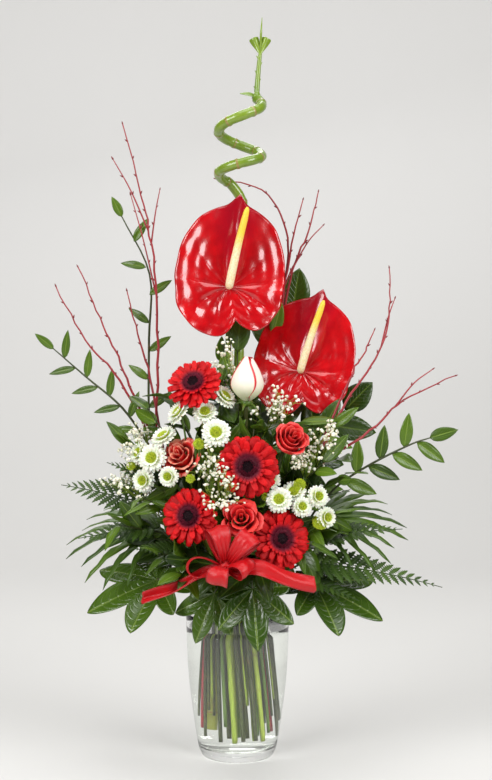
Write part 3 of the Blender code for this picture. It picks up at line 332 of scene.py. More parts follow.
def applied(piece, *modifiers):
    """Add modifiers, each a kind and its settings, apply them and shade the piece smooth."""
    only(piece)
    for kind, settings in modifiers:
        modifier = piece.modifiers.new(kind.lower(), kind)
        for key, value in settings.items():
            setattr(modifier, key, value)
        bpy.ops.object.modifier_apply(modifier=modifier.name)
    bpy.ops.object.shade_smooth()
    return piece


def rounded(levels):
    return "SUBSURF", dict(levels=levels, render_levels=levels)


def thick(millimetres):
    return "SOLIDIFY", dict(thickness=millimetres, offset=0.0)


def bent(piece, formula):
    """Move every point of a piece by a formula of its place."""
    for vert in piece.data.vertices:
        vert.co = formula(*vert.co)
    return piece


def copied(name, masters, places, seed=1):
    """Copies of finished pieces, each with its own mesh and its own shade, joined into one."""
    draw = random.Random(seed)
    parts = []
    for number, place in enumerate(places):
        mesh = masters[number % len(masters)].data.copy()
        mesh.transform(TO_METRES @ place)
        shade = mesh.attributes.new("shade", "FLOAT", "POINT")
        shade.data.foreach_set("value", np.full(len(mesh.vertices), draw.random(), np.float32))
        part = bpy.data.objects.new(name, mesh)
        bpy.context.scene.collection.objects.link(part)
        parts.append(part)
    return joined(name, parts)


def joined(name, parts):
    """Several pieces made one."""
    only(*parts)
    if len(parts) > 1:
        bpy.ops.object.join()
    piece = bpy.context.object
    piece.name = piece.data.name = name
    return piece


def removed(*masters):
    for master in masters:
        bpy.data.objects.remove(master)


def dressed(piece, finish, slot, *stands_for):
    """Give a piece its finish and its ride, and say which solids it stands for."""
    piece.data.materials.clear()
    piece.data.materials.append(finish.material)
    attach(piece, "root")
    if stands_for:
        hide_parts(*stands_for)
    print(f"{piece.name}: {len(piece.data.polygons)} faces")
    return piece


# %% [markdown]
# A petal or a leaf starts as a flat grid. Row by row it is drawn in to the outline, so its UV map
# still says how far across and along a point lies, and the veins can be painted from that.

# %% A blade from a grid


def blade(length, halves, columns=4):
    """A flat blade along +Y: one row of points for each half width."""
    rows = len(halves) - 1
    only(sweep)
    bpy.ops.mesh.primitive_grid_add(x_subdivisions=columns, y_subdivisions=rows, size=2)
    piece = bpy.context.object
    bpy.ops.object.mode_set(mode="EDIT")
    for row, half in enumerate(halves):
        level = 2 * row / rows - 1
        select(lambda place: abs(place.y - level) < 0.5 / rows)
        bpy.ops.transform.resize(value=(max(half, 0.01), 1, 1))
    bpy.ops.mesh.select_all(action="SELECT")
    bpy.ops.transform.translate(value=(0, 1, 0))
    bpy.ops.transform.resize(value=(1, length / 2, 1), center_override=(0, 0, 0))
    bpy.ops.mesh.remove_doubles(threshold=0.03)
    bpy.ops.object.mode_set(mode="OBJECT")
    return piece


trial = blade(30, [1, 3, 4, 0])
print("a trial blade has", len(trial.data.vertices), "points")
removed(trial)

# %% [markdown]
# Stems and twigs are curves with a round bevel, made meshes. A stem follows the middle of its
# solid, which is measured by cutting the solid's edges at a height and taking their mean.

# %% Stems along the solids


def smooth_path(points, per_span=6):
    """Points on a Catmull-Rom curve through the given ones."""
    knots = [Vector(point) for point in points]
    knots = [knots[0] * 2 - knots[1]] + knots + [knots[-1] * 2 - knots[-2]]
    path = []
    for a, b, c, d in zip(knots, knots[1:], knots[2:], knots[3:]):
        for step in range(per_span):
            t = step / per_span
            path.append(0.5 * (2 * b + (c - a) * t + (2 * a - 5 * b + 4 * c - d) * t * t
                               + (3 * b - a - 3 * c + d) * t ** 3))
    return path + [knots[-2]]


def lengths_along(path):
    """How far along a path each of its points lies."""
    return np.cumsum([0.0] + [(b - a).length for a, b in zip(path, path[1:])])


def tube(name, path, radii, fine=2):
    """A round rod along a path, closed at both ends, with its distance along kept on its points."""
    if isinstance(radii, (int, float)):
        radii = [radii] * len(path)
    curve = bpy.data.curves.new(name, "CURVE")
    curve.dimensions = "3D"
    curve.bevel_depth = 1
    curve.bevel_resolution = fine
    curve.use_fill_caps = True
    spline = curve.splines.new("POLY")
    spline.points.add(len(path) - 1)
    for point, place, radius in zip(spline.points, path, radii):
        point.co = (*place, 1)
        point.radius = radius
    rod = bpy.data.objects.new(name, curve)
    bpy.context.scene.collection.objects.link(rod)
    only(rod)
    bpy.ops.object.convert(target="MESH")
    bpy.ops.object.mode_set(mode="EDIT")
    bpy.ops.mesh.select_all(action="SELECT")
    bpy.ops.mesh.remove_doubles(threshold=0.001)
    bpy.ops.mesh.normals_make_consistent(inside=False)
    bpy.ops.object.mode_set(mode="OBJECT")
    bpy.ops.object.shade_smooth()
    spots = np.array([vert.co[:] for vert in rod.data.vertices])
    nearest = np.linalg.norm(spots[:, None] - np.array([p[:] for p in path])[None], axis=2).argmin(axis=1)
    along = rod.data.attributes.new("along", "FLOAT", "POINT")
    along.data.foreach_set("value", lengths_along(path)[nearest].astype(np.float32))
    return rod


def middle_at(name, height):
    """The middle of a stem's solid at a height, in millimetres."""
    mesh = nodes[name].data
    spots = np.array([vert.co[:] for vert in mesh.vertices]) / MM
    edges = np.array([edge.vertices[:] for edge in mesh.edges])
    a, b = spots[edges[:, 0]], spots[edges[:, 1]]
    crossing = (a[:, 2] - height) * (b[:, 2] - height) < 0
    a, b = a[crossing], b[crossing]
    share = (height - a[:, 2]) / (b[:, 2] - a[:, 2])
    return Vector((a + (b - a) * share[:, None]).mean(axis=0))


def stem_path(name, top, steps=9):
    """The path of a stem from its foot in the water up to its top."""
    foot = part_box(name)[0].z / MM
    levels = [foot + 1.5] + list(np.linspace(185, top - 4, steps))
    return [middle_at(name, level) for level in levels]


print("gerbera stem passes the rim at", [round(x) for x in middle_at("gerbera_upper_stem", 160)])

# %% [markdown]
# The vase is a tapered tumbler of clear pressed glass with a thick floor. Glass like this is
# turned: one line from the middle of the base, up the outside, over the rim and down the inside
# is spun round the axis. It is a closed shell, so light bends in it as in the real thing.

# %% Glass
GLASS_OUTSIDE = [(44.5, 15), (50.2, 53), (54.8, 93), (57.5, 160)]
GLASS_WALL = 3.0
SIDES = 96


def spun(name, outline, sides=SIDES):
    """A shape turned round the upright axis from its half outline, radius and height."""
    mesh = bpy.data.meshes.new(name)
    links = [(i, i + 1) for i in range(len(outline) - 1)]
    mesh.from_pydata([(radius, 0, height) for radius, height in outline], links, [])
    piece = bpy.data.objects.new(name, mesh)
    bpy.context.scene.collection.objects.link(piece)
    only(piece)
    bpy.ops.object.mode_set(mode="EDIT")
    bpy.ops.mesh.select_all(action="SELECT")
    bpy.ops.mesh.spin(steps=sides, angle=2 * math.pi, center=(0, 0, 0), axis=(0, 0, 1))
    bpy.ops.mesh.select_all(action="SELECT")
    bpy.ops.mesh.remove_doubles(threshold=0.01)
    bpy.ops.mesh.normals_make_consistent(inside=False)
    bpy.ops.object.mode_set(mode="OBJECT")
    bpy.ops.object.shade_smooth()
    return piece


def in_metres(piece):
    piece.data.transform(TO_METRES)
    return piece


def curved_line(points, per_span=5):
    return [(point.x, point.z) for point in smooth_path([(r, 0, z) for r, z in points], per_span)]


outside = curved_line([(44.5, 15), (47.4, 33), (50.2, 53), (52.8, 73), (54.8, 93), (56.4, 125), (57.5, 159.6)])
inside = [(radius - GLASS_WALL, height) for radius, height in outside[::-1] if height > 19]
base = [(0, 0.9), (20, 0.7), (31, 0.4), (34, 0), (36.5, 0.2), (39.0, 1.3), (41.0, 3.4), (43.0, 8.5)]
rim = [(57.2, 160.3), (56.5, 160.8), (55.6, 160.8), (54.9, 160.4), (54.5, 159.4)]
floor = [(42.0, 15.6), (40.2, 13.2), (37.0, 11.9), (30, 11.2), (14, 11), (0, 11)]
glass = in_metres(spun("glass_tumbler", base + outside + rim + inside[1:] + floor))


def lets_lamps_through(finish):
    """Clear finishes hold back no light: for a shadow they are a plain opening."""
    opening = finish.tree.nodes.new("ShaderNodeBsdfTransparent")
    sorter = finish.tree.nodes.new("ShaderNodeMixShader")
    path = finish.tree.nodes.new("ShaderNodeLightPath")
    output = finish.tree.nodes["Material Output"]
    finish.tree.links.new(path.outputs["Is Shadow Ray"], sorter.inputs[0])
    finish.tree.links.new(finish.shader.outputs[0], sorter.inputs[1])
    finish.tree.links.new(opening.outputs[0], sorter.inputs[2])
    finish.tree.links.new(sorter.outputs[0], output.inputs["Surface"])
    return finish


clear_glass = Finish("clear_pressed_glass", Roughness=0.0, IOR=1.47, Transmission_Weight=1.0)
clear_glass.set("Base Color", (0.985, 0.995, 0.99))
ripple = clear_glass.noise(28.0, detail=1.0)
clear_glass.relief(ripple, 0.0006, 0.25)
lets_lamps_through(clear_glass)
dressed(glass, clear_glass, "clear_glass", "vase")

# %% [markdown]
# The water fills the glass nearly to its rim. It is turned as well, a hair wider than the inside
# of the glass, because a gap of air between the two would shine like a mirror. Its surface climbs
# a little at the wall.

# %% Water
WATER_LEVEL = 145.0
wet = [(radius + 0.25, height) for radius, height in inside[::-1] if height < WATER_LEVEL - 3]
wet_floor = [(0, 10.8), (30, 11.0), (37.2, 11.7), (40.4, 13.0), (42.2, 15.5)]
wall_radius = float(np.interp(WATER_LEVEL, [h for _, h in outside], [r for r, _ in outside])) - GLASS_WALL
skin = [(wall_radius + 0.2, WATER_LEVEL + 0.9), (wall_radius - 0.8, WATER_LEVEL + 0.1),
        (wall_radius - 2.6, WATER_LEVEL - 0.5), (wall_radius - 6, WATER_LEVEL - 0.7), (0, WATER_LEVEL - 0.7)]
water = in_metres(spun("vase_water", wet_floor + wet + skin))
clear_water = Finish("clear_flower_water", Roughness=0.0, IOR=1.333, Transmission_Weight=1.0)
clear_water.set("Base Color", (0.975, 0.99, 0.955))
clear_water.relief(clear_water.noise(40.0, detail=1.0), 0.0004, 0.2)
lets_lamps_through(clear_water)
dressed(water, clear_water, "clear_water", "water")

# %% [markdown]
# Every stem of the bouquet stands in the water. They cross at the waist of the vase in a hand-tied
# spiral. The middle of each is followed up through its solid, level by level, and a smooth
# rod is drawn along it.

# %% Following the stems
STEM_STEP = 9.0


def crossings(name, height):
    """Where the edges of a solid cross a height, in millimetres."""
    mesh = nodes[name].data
    spots = np.array([vert.co[:] for vert in mesh.vertices]) / MM
    edges = np.array([edge.vertices[:] for edge in mesh.edges])
    a, b = spots[edges[:, 0]], spots[edges[:, 1]]
    crossed = (a[:, 2] - height) * (b[:, 2] - height) < 0
    a, b = a[crossed], b[crossed]
    return a + (b - a) * ((height - a[:, 2]) / (b[:, 2] - a[:, 2]))[:, None]


def followed(name, top, reach=7.0):
    """The middle of a stem from its foot up to a height: each level keeps near the one before."""
    levels = np.arange(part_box(name)[0].z / MM + 1.0, top, STEM_STEP)
    path = [Vector(crossings(name, levels[0]).mean(axis=0))]
    drift = Vector((0, 0, 0))
    for level in levels[1:]:
        spots = crossings(name, level)
        guess = path[-1] + drift
        near = [spot for spot in spots if math.hypot(spot[0] - guess.x, spot[1] - guess.y) < reach]
        if not near:
            break
        spot = Vector(np.mean(near, axis=0))
        drift = spot - path[-1]
        path.append(spot)
    return path


def thinned(path, keep=3):
    """Every third point of a path and its last one, which evens out the steps of the solid."""
    return path[:-1:keep] + [path[-1]]


BLOOM_STEMS = {
    "anthurium_high": (3.1, (-9, -20, 521), (0.02, -1, 0.18)),
    "anthurium_low": (3.0, (70, 0, 428), (-0.16, -1, 0.22)),
    "gerbera_upper": (2.6, (-46, -70, 419), (-0.22, -0.78, 0.58)),
    "gerbera_centre": (2.6, (11, -99, 333), (0.03, -0.98, 0.16)),
    "gerbera_left": (2.6, (-50, -100, 281), (-0.28, -0.92, 0.26)),
    "gerbera_right": (2.6, (46, -98, 257), (0.34, -0.90, 0.20)),
    "rose_bud": (2.3, (10, -62, 410), (0.04, -0.22, 0.97)),
    "rose_left": (2.3, (-56, -66, 336), (-0.35, -0.80, 0.48)),
    "rose_right": (2.3, (54, -80, 356), (0.30, -0.80, 0.50)),
    "rose_low": (2.3, (5, -104, 276), (-0.04, -0.90, 0.42)),
}


def stem_finish(name, dark, light):
    """Fibrous green: streaks along the stem, paler and browner blotches, a faint waxy shine."""
    finish = Finish(name, Roughness=0.45, Coat_Weight=0.15, Coat_Roughness=0.3)
    place = finish.place()
    streaks = finish.node("Mapping", sockets={"Vector": place, "Scale": (500.0, 500.0, 18.0)})
    fibre = finish.noise(1.0, 2.0, streaks)
    blotch = finish.noise(26.0, 3.0)
    own = finish.field("shade")
    share = (fibre * 0.5 + blotch * 0.5 + own * 0.5 - 0.25).clamped()
    green = finish.mix(share, dark, light)
    worn = finish.noise(60.0, 4.0).between(0.60, 0.74)
    finish.set("Base Color", finish.mix(worn * 0.6, green, (0.16, 0.10, 0.035)))
    return finish.relief(fibre, 0.0003, 0.5)


bloom_stem_green = stem_finish("bloom_stem_green", (0.045, 0.095, 0.008), (0.15, 0.26, 0.020))
lime_stem = stem_finish("gerbera_stem_lime", (0.17, 0.26, 0.015), (0.38, 0.46, 0.050))
leaf_stem_olive = stem_finish("leaf_stem_olive", (0.022, 0.036, 0.006), (0.085, 0.095, 0.016))
twig_stem_brown = stem_finish("twig_stem_brown", (0.060, 0.022, 0.010), (0.19, 0.070, 0.030))
stem_masters = []
for name, (radius, bloom, facing) in BLOOM_STEMS.items():
    node = name + "_stem"
    end = Vector(bloom) - Vector(facing).normalized() * 5
    path = thinned(followed(node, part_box(node)[1].z / MM - 8))
    if name.startswith("anthurium"):
        end = Vector(bloom) - Vector(facing).normalized() * 1.0
    path = smooth_path(path + [end], 4)
    radii = [radius * (1.0 + 0.06 * math.sin(0.9 * i)) for i in range(len(path))]
    rod = tube(name, path, radii, fine=3)
    stem = copied(name + "_green", [rod], [Matrix.Identity(4)], seed=len(stem_masters))
    stem_masters.append(rod)
    stem_green = {"gerbera": lime_stem, "rose": leaf_stem_olive}.get(name.split("_")[0], bloom_stem_green)
    dressed(stem, stem_green, "stem_green", node)
removed(*stem_masters)

# %% [markdown]
# Lucky bamboo is a smooth cane with a tan ring at each joint. Its top was trained into a corkscrew,
# and a leafy side shoot grows from the end of the coil. The cane is one rod whose thickness swells
# at each ring, and the distance to the nearest ring is kept on its points for the finish.

# %% Bamboo
CANE_RADIUS = 5.6
CANE_FOOT, CANE_TOP = 33.0, 592.0
COIL_MIDDLE, COIL_RADIUS = (3.0, 4.0), 23.5
COIL_RISE = [(-600, 636), (-540, 645), (-360, 664), (-180, 691), (0, 719), (40, 728)]
JOINT_GAP = 29.0

angles = np.arange(-600, 41, 8.0)
heights = np.interp(angles, [turn for turn, _ in COIL_RISE], [height for _, height in COIL_RISE])
coil = [Vector((COIL_MIDDLE[0] + COIL_RADIUS * math.cos(math.radians(turn)),
                COIL_MIDDLE[1] + COIL_RADIUS * math.sin(math.radians(turn)), height))
        for turn, height in zip(angles, heights)]
straight = thinned(followed("bamboo_stalk", CANE_TOP, reach=12))
bend = smooth_path([straight[-1], Vector((5, 28, 616)), coil[0], coil[5]], 8)[:17]
cane = smooth_path(straight, 8)[:-1] + bend + coil[1:]
marks = lengths_along(cane)
fine_marks = np.linspace(0, marks[-1], int(marks[-1] / 1.5))
cane = [Vector([float(np.interp(mark, marks, [point[axis] for point in cane])) for axis in range(3)])
        for mark in fine_marks]
to_joint = np.abs((fine_marks + 9) % JOINT_GAP - JOINT_GAP / 2)
lower_joint = np.abs((fine_marks + 9) % (2 * JOINT_GAP) - JOINT_GAP)
is_coil = fine_marks > fine_marks[-1] - 330
to_joint = np.where(is_coil, to_joint, lower_joint)
cane_radii = CANE_RADIUS * (1 + 0.10 * np.exp(-(to_joint / 1.6) ** 2) - 0.05 * np.exp(-((to_joint - 4) / 2.5) ** 2))
cane_rod = tube("cane", cane, list(cane_radii), fine=5)
ring = cane_rod.data.attributes.new("ring", "FLOAT", "POINT")
cane_spots = np.array([vert.co[:] for vert in cane_rod.data.vertices])
nearest = np.linalg.norm(cane_spots[:, None] - np.array([p[:] for p in cane])[None], axis=2).argmin(axis=1)
ring.data.foreach_set("value", to_joint[nearest].astype(np.float32))

bud = cane[-1] + Vector((0, 0, 2))
shoot = smooth_path([bud, bud + Vector((1, 2, 16)), bud + Vector((2.5, 3, 34)), bud + Vector((4, 4, 48))], 6)
shoot_rod = tube("shoot", shoot, list(np.linspace(3.2, 2.1, len(shoot))), fine=4)
knob = tube("knob", [cane[-1], bud + Vector((0, 0, 1)), bud + Vector((0.4, 0.8, 5))], [5.4, 5.0, 3.0], fine=4)
stubs = []
for number in range(5):
    at = shoot[3 + 3 * number]
    side = Vector((1 if number % 2 else -1, 0.2 - 0.15 * number, 1.1)).normalized()
    stubs.append(tube("stub", [at, at + side * 2.4, at + side * 5.4], [1.5, 1.3, 0.35], fine=2))
spike = tube("spike", [shoot[-1] - Vector((0, 0, 2)), shoot[-1] + Vector((1, 0, 24)), shoot[-1] + Vector((2, 0, 39))],
             [1.6, 1.2, 0.35], fine=2)
sheaths = []
for side in (-1, 1):
    sheath = blade(21, [1.6, 2.2, 3.0, 3.9, 4.7, 5.4, 5.8], columns=6)
    bent(sheath, lambda x, y, z: Vector((x, y, 1.6 - 0.16 * x * x - 0.5 * math.sin(y / 7))))
    applied(sheath, thick(0.7), rounded(1))
    heading = Vector((0.42 * side, 0.1, 1))
    sheath.data.transform(laid(shoot[-1] - heading.normalized() * 2, heading, (0, -1, 0.2)))
    sheaths.append(sheath)
scale_leaf = blade(20, [2.0, 3.6, 4.4, 4.2, 3.2, 1.6, 0], columns=4)
bent(scale_leaf, lambda x, y, z: Vector((x, y, 0.2 * abs(x) - 0.2 * y * y / 20)))
applied(scale_leaf, thick(0.6), rounded(1))
scale_leaf.data.transform(laid(bud, (-0.9, -0.3, 0.3), (0, -0.6, 0.8)))
for part in [knob, shoot_rod, spike, scale_leaf] + stubs + sheaths:
    part.data.attributes.new("ring", "FLOAT", "POINT").data.foreach_set("value", np.full(len(part.data.vertices), 9.0))
bamboo = joined("bamboo_cane", [cane_rod, knob, shoot_rod, spike, scale_leaf] + stubs + sheaths)
in_metres(bamboo)

cane_finish = Finish("lucky_bamboo_skin", Roughness=0.28, Coat_Weight=0.35, Coat_Roughness=0.12)
joint = cane_finish.field("ring")
height_mm = cane_finish.node("SeparateXYZ", sockets={"Vector": cane_finish.place()}, output="Z") * 1000
tan_ring = 1 - joint.between(0.5, 1.5)
streak_place = cane_finish.node("Mapping", sockets={"Vector": cane_finish.place(), "Scale": (260.0, 260.0, 30.0)})
streak = cane_finish.noise(1.0, 3.0, streak_place)
cloud = cane_finish.noise(22.0, 3.0)
skin_colour = cane_finish.mix((streak * 0.45 + cloud * 0.7 - 0.1).clamped(), (0.085, 0.17, 0.012), (0.27, 0.37, 0.035))
water_pale = 1 - height_mm.between(150.0, 330.0)
skin_colour = cane_finish.mix(water_pale * 0.7, skin_colour, (0.46, 0.46, 0.08))
cane_finish.set("Base Color", cane_finish.mix(tan_ring * 0.85, skin_colour, (0.30, 0.19, 0.07)))
cane_finish.relief(streak * 0.3 + joint.between(0.0, 1.2) * 0.6, 0.0006, 0.5)
dressed(bamboo, cane_finish, "bamboo_skin", "bamboo_stalk")

# %% [markdown]
# An anthurium's red "flower" is a spathe: one heart-shaped, lacquered leaf. Veins fan out from the
# foot of its spadix and the skin swells between them like a quilt. A filled circle of many rings
# is drawn out to the heart, ring by ring and turn by turn, by the same outline as its solid.

# %% Spathe
SPATHE_LENGTH = 104.0
HEART = [(0, 1.0), (1.5, 0.975), (3.5, 0.930), (6, 0.898), (9, 0.882), (14, 0.872), (24, 0.832), (36, 0.775),
         (47, 0.715), (57, 0.655), (70, 0.612), (90, 0.562), (108, 0.575), (126, 0.570), (145, 0.565), (158, 0.555),
         (167, 0.49), (180, 0.36)]
QUILTS = 15
NOTCH_TURN = math.radians(15)
ANTHURIUMS = {
    "anthurium_high": ((-9, -20, 521), (8, 22, 102), (0.02, -1, 0.18), 1.0),
    "anthurium_low": ((70, 0, 428), (20, 24, 86), (-0.16, -1, 0.22), 0.93),
}


def heart_radius(turn):
    """Radius of the heart at an angle from its tip, with the corners of the table smoothed away."""
    degrees = abs(math.degrees(turn))
    shift = 5.0 * min(1.0, max(0.0, (degrees - 8) / 12), (180 - degrees) / 6)
    spread = [float(np.interp(degrees + step * shift, *zip(*HEART))) for step in (-1, 0, 1)]
    return 0.3 * spread[0] + 0.4 * spread[1] + 0.3 * spread[2]


def vein_turn(turn, share):
    """The angle that a point's vein had where it left the foot: veins bend to the tip and to the lobes."""
    return abs(turn) + 0.62 * math.cos(turn) * share


def spathe_relief(turn, share, x):
    """Height of the skin: quilted below the foot of the spadix, long soft waves towards the tip."""
    upper = math.cos(turn)
    lower_share = 0.5 - 0.5 * upper
    swell = math.sin(math.pi * min(share, 0.92)) ** 1.1
    vein = vein_turn(turn, share)
    puff = 2 * abs(math.cos(QUILTS / 2 * vein)) ** 0.7 - 1.2
    wide_puff = 2 * abs(math.cos(QUILTS / 4 * vein)) ** 0.9 - 1.2
    beside_notch = min(1.0, max(0.0, (2.72 - abs(turn)) / 0.35))
    big = 2.3 * puff * lower_share ** 0.8 * beside_notch + 1.1 * wide_puff * (1 - lower_share)
    cross = math.sin(26 * share + 5 * vein) * (0.40 * lower_share + 0.16) * share
    chain = 0.55 * math.sin(31 * share + 2.0) * math.exp(-((vein - 1.15) / 0.22) ** 2) * share * (1.3 - share)
    rib = -1.1 * math.exp(-(x / 2.2) ** 2) * (share * (1.2 - share) * 2 if upper > 0 else 0)
    frill = 0.7 * math.sin(11 * turn + 1.0) * share ** 6 + 0.5 * math.sin(23 * turn) * share ** 8
    return big * swell + cross + chain + rib + frill


def spathe(size):
    """A heart-shaped spathe round the foot of its spadix, in millimetres."""
    only(sweep)
    bpy.ops.mesh.primitive_circle_add(vertices=168, radius=1, fill_type="NOTHING")
    piece = bpy.context.object
    bpy.ops.object.mode_set(mode="EDIT")
    bpy.ops.mesh.select_all(action="SELECT")
    shares = np.linspace(1, 0, 31)
    for outer, inner in zip(shares, shares[1:-1]):
        bpy.ops.mesh.extrude_edges_move()
        bpy.ops.transform.resize(value=(inner / outer, inner / outer, 1))
    bpy.ops.mesh.extrude_edges_move()
    bpy.ops.mesh.merge(type="CENTER")
    bpy.ops.mesh.select_all(action="SELECT")
    bpy.ops.mesh.normals_make_consistent(inside=False)
    bpy.ops.object.mode_set(mode="OBJECT")
    mesh = piece.data
    spots = [vert.co.copy() for vert in mesh.vertices]
    turns = [math.atan2(spot.x, spot.y) if spot.length > 1e-5 else 0.0 for spot in spots]
    for name, values in (("turn", [abs(turn) / math.pi for turn in turns]), ("rim", [s.length for s in spots])):
        mesh.attributes.new(name, "FLOAT", "POINT").data.foreach_set("value", np.array(values, np.float32))
    for vert, spot, turn in zip(mesh.vertices, spots, turns):
        share = spot.length
        reach = SPATHE_LENGTH * size * heart_radius(turn) * share
        reach *= 1 + 0.006 * math.sin(13 * turn + 1) * share
        sway = NOTCH_TURN * (0.5 - 0.5 * math.cos(turn)) ** 3
        x, y = reach * math.sin(turn - sway), reach * math.cos(turn - sway)
        lean = 2.0 * max(0.0, y / 90 / size) ** 5
        cup = -7.0 * (x / 60) ** 2 + 4.0 * share * share * max(0, -math.cos(turn))
        vert.co = (x + lean, y, size * spathe_relief(turn, share, x) + cup)
    if sum(face.normal.z for face in mesh.polygons) < 0:
        mesh.flip_normals()
    return applied(piece, ("SOLIDIFY", dict(thickness=1.1, offset=-1.0)))


red_lacquer = Finish("spathe_red_lacquer", Roughness=0.24, Coat_Weight=0.7, Coat_Roughness=0.045)
turn = red_lacquer.field("turn")
rim_share = red_lacquer.field("rim")
mottle = red_lacquer.noise(24.0, 4.0)
wrinkle = red_lacquer.noise(95.0, 2.0)
fine_skin = red_lacquer.noise(900.0, 2.0)
ray = (turn * 30.0 + red_lacquer.noise(16.0, 2.0) * 3.0) * math.pi
side_vein = abs(ray.sine()).between(0.0, 0.25)
lower = turn.between(0.35, 0.60)
shade = (mottle * 0.6 + wrinkle * 0.4).between(0.3, 0.75)
deep = red_lacquer.mix(shade, (0.34, 0.0003, 0.003), (0.60, 0.0008, 0.004))
# Under the spadix, along the middle of the upper half, the red is painted darker: a painted shadow of the spadix.
deep = red_lacquer.mix((1 - turn.between(0.02, 0.16)) * rim_share.between(0.1, 0.5) * 0.7, deep, (0.26, 0.0, 0.010))
vein_here = (1 - side_vein) * rim_share.between(0.08, 0.4) * (lower * 0.8 + 0.2)
red_lacquer.set("Base Color", red_lacquer.mix(vein_here * 0.4, deep, (0.30, 0.0005, 0.006)))
red_lacquer.relief(fine_skin * 0.05 + wrinkle * (lower * 0.6 + 0.4), 0.0018, 0.5)

# %% [markdown]
# The spadix is a fleshy finger covered in hundreds of tiny flowers. It is cream where it leaves the
# spathe and yellow at its end. The tiny flowers are too small to model, so the finish raises them
# as cells.

# %% Spadix
SPINE = [(0, 0, 1.1), (0.1, 0.5, 6), (1.2, 9, 10), (3, 22, 14), (7, 48, 22), (11, 70, 28), (12.6, 79, 30.4),
         (13.1, 82.2, 31.1)]
SPINE_RADII = [2.6, 4.5, 4.8, 4.6, 4.2, 3.7, 2.9, 1.3]


def spadix(size):
    path = smooth_path([Vector(point) * size for point in SPINE], 6)
    knots = lengths_along([Vector(point) * size for point in SPINE])
    radii = np.interp(lengths_along(path), knots, [radius * size for radius in SPINE_RADII])
    return applied(tube("spadix", path, list(radii), fine=5), rounded(1))


spadix_flesh = Finish("spadix_cream_to_yellow", Roughness=0.42, Subsurface_Weight=0.15, Subsurface_Scale=0.003)
along = spadix_flesh.field("along")
cells = spadix_flesh.node("TexVoronoi", dict(feature="F1"), {"Vector": spadix_flesh.place(), "Scale": 620.0})
speckle = spadix_flesh.noise(300.0, 2.0)
flesh = spadix_flesh.mix(along.between(38.0, 66.0), (0.88, 0.76, 0.50), (0.93, 0.62, 0.04))
flesh = spadix_flesh.mix((1 - along.between(0.0, 9.0)) * 0.5, flesh, (0.80, 0.50, 0.28))
# The gaps between the cells are painted darker: painted shade between the tiny flowers.
spadix_flesh.set("Base Color", spadix_flesh.mix(cells.between(0.35, 0.75) * 0.35, flesh, (0.62, 0.38, 0.07)))
spadix_flesh.relief(1 - cells, 0.0006, 0.55)

for name, (base_at, tip, facing, size) in ANTHURIUMS.items():
    place = laid(base_at, tip, facing)
    master = spathe(size)
    heart = copied(name + "_heart", [master], [place])
    dressed(heart, red_lacquer, "spathe_red", name + "_spathe")
    finger_master = spadix(size)
    finger = copied(name + "_finger", [finger_master], [place])
    dressed(finger, spadix_flesh, "spadix_yellow", name + "_spadix")
    removed(master, finger_master)

# %% [markdown]
# A gerbera head carries some ninety narrow rays in three whorls round a dark eye. One ray is
# modelled, grooved along its length and blunt at its end, then every whorl takes copies of it with
# its own length and lift. The eye is a spiral of tiny closed florets with open ones at its rim.

# %% Gerberas
GOLDEN = math.radians(137.508)
GERBERAS = {
    "gerbera_upper": ((-46, -70, 419), (-0.22, -0.78, 0.58), 30),
    "gerbera_centre": ((11, -99, 333), (0.03, -0.98, 0.16), 34),
    "gerbera_left": ((-50, -100, 281), (-0.28, -0.92, 0.26), 31),
    "gerbera_right": ((46, -98, 257), (0.34, -0.90, 0.20), 33),
}
RAY_HALVES = [0.040, 0.068, 0.096, 0.120, 0.138, 0.148, 0.150, 0.136, 0.080]


def gerbera_ray(length, sag, lift, radius, twist=0.0):
    """One ray from the eye outwards along +Y: it lifts or sags by the square of its reach."""
    ray = blade(length, [half * length for half in RAY_HALVES], columns=6)
    width = max(RAY_HALVES) * length
    out = ray.data.attributes.new("out", "FLOAT", "POINT")
    out.data.foreach_set("value", np.array([(vert.co.y + 5.5) / radius for vert in ray.data.vertices], np.float32))

    def shape(x, y, z):
        share = y / length
        groove = 0.28 * math.cos(2.2 * math.pi * x / width) * math.sin(math.pi * min(1, share * 1.1))
        notch = 0.5 * math.cos(3 * math.pi * x / width) * max(0.0, share - 0.9) * 10
        return Vector((x + twist * share * share, y + notch, lift * share + sag * share * share
                       - 0.05 * x * x + groove))
    return applied(bent(ray, shape), ("SOLIDIFY", dict(thickness=0.45, offset=-1.0)))


def whorl(count, start, low, tilt, phase, draw, spread=2.5):
    """Places for a ring of rays that leave the eye at a radius and a height, with a little disorder."""
    places = []
    for number in range(count):
        angle = 360 * number / count + phase + draw.uniform(-spread, spread)
        lean = tilt + draw.uniform(-3, 3)
        size = draw.uniform(0.94, 1.03)
        places.append(turned(angle) @ moved(0, start, low) @ turned(lean, "X") @ turned(draw.uniform(-8, 8), "Y")
                      @ Matrix.Scale(size, 4))
    return places


def tiny_floret(radius, height, opened):
    """A closed or five-pointed floret for the eye: a cylinder drawn in at its foot and flared on top."""
    only(sweep)
    bpy.ops.mesh.primitive_cylinder_add(vertices=10, radius=radius * 0.5, depth=height, location=(0, 0, height / 2))
    floret = bpy.context.object
    bpy.ops.object.transform_apply(location=True, rotation=True, scale=True)
    bpy.ops.object.mode_set(mode="EDIT")
    select(lambda place: place.z > height * 0.9)
    bpy.ops.mesh.inset(thickness=radius * 0.12)
    bpy.ops.transform.translate(value=(0, 0, -height * (0.35 if opened else -0.15)))
    select(lambda place: place.z > height * 0.6 and math.hypot(place.x, place.y) > radius * 0.45)
    bpy.ops.transform.resize(value=(1.7 if opened else 1.0, 1.7 if opened else 1.0, 1))
    bpy.ops.object.mode_set(mode="OBJECT")
    bpy.ops.object.shade_smooth()
    return floret


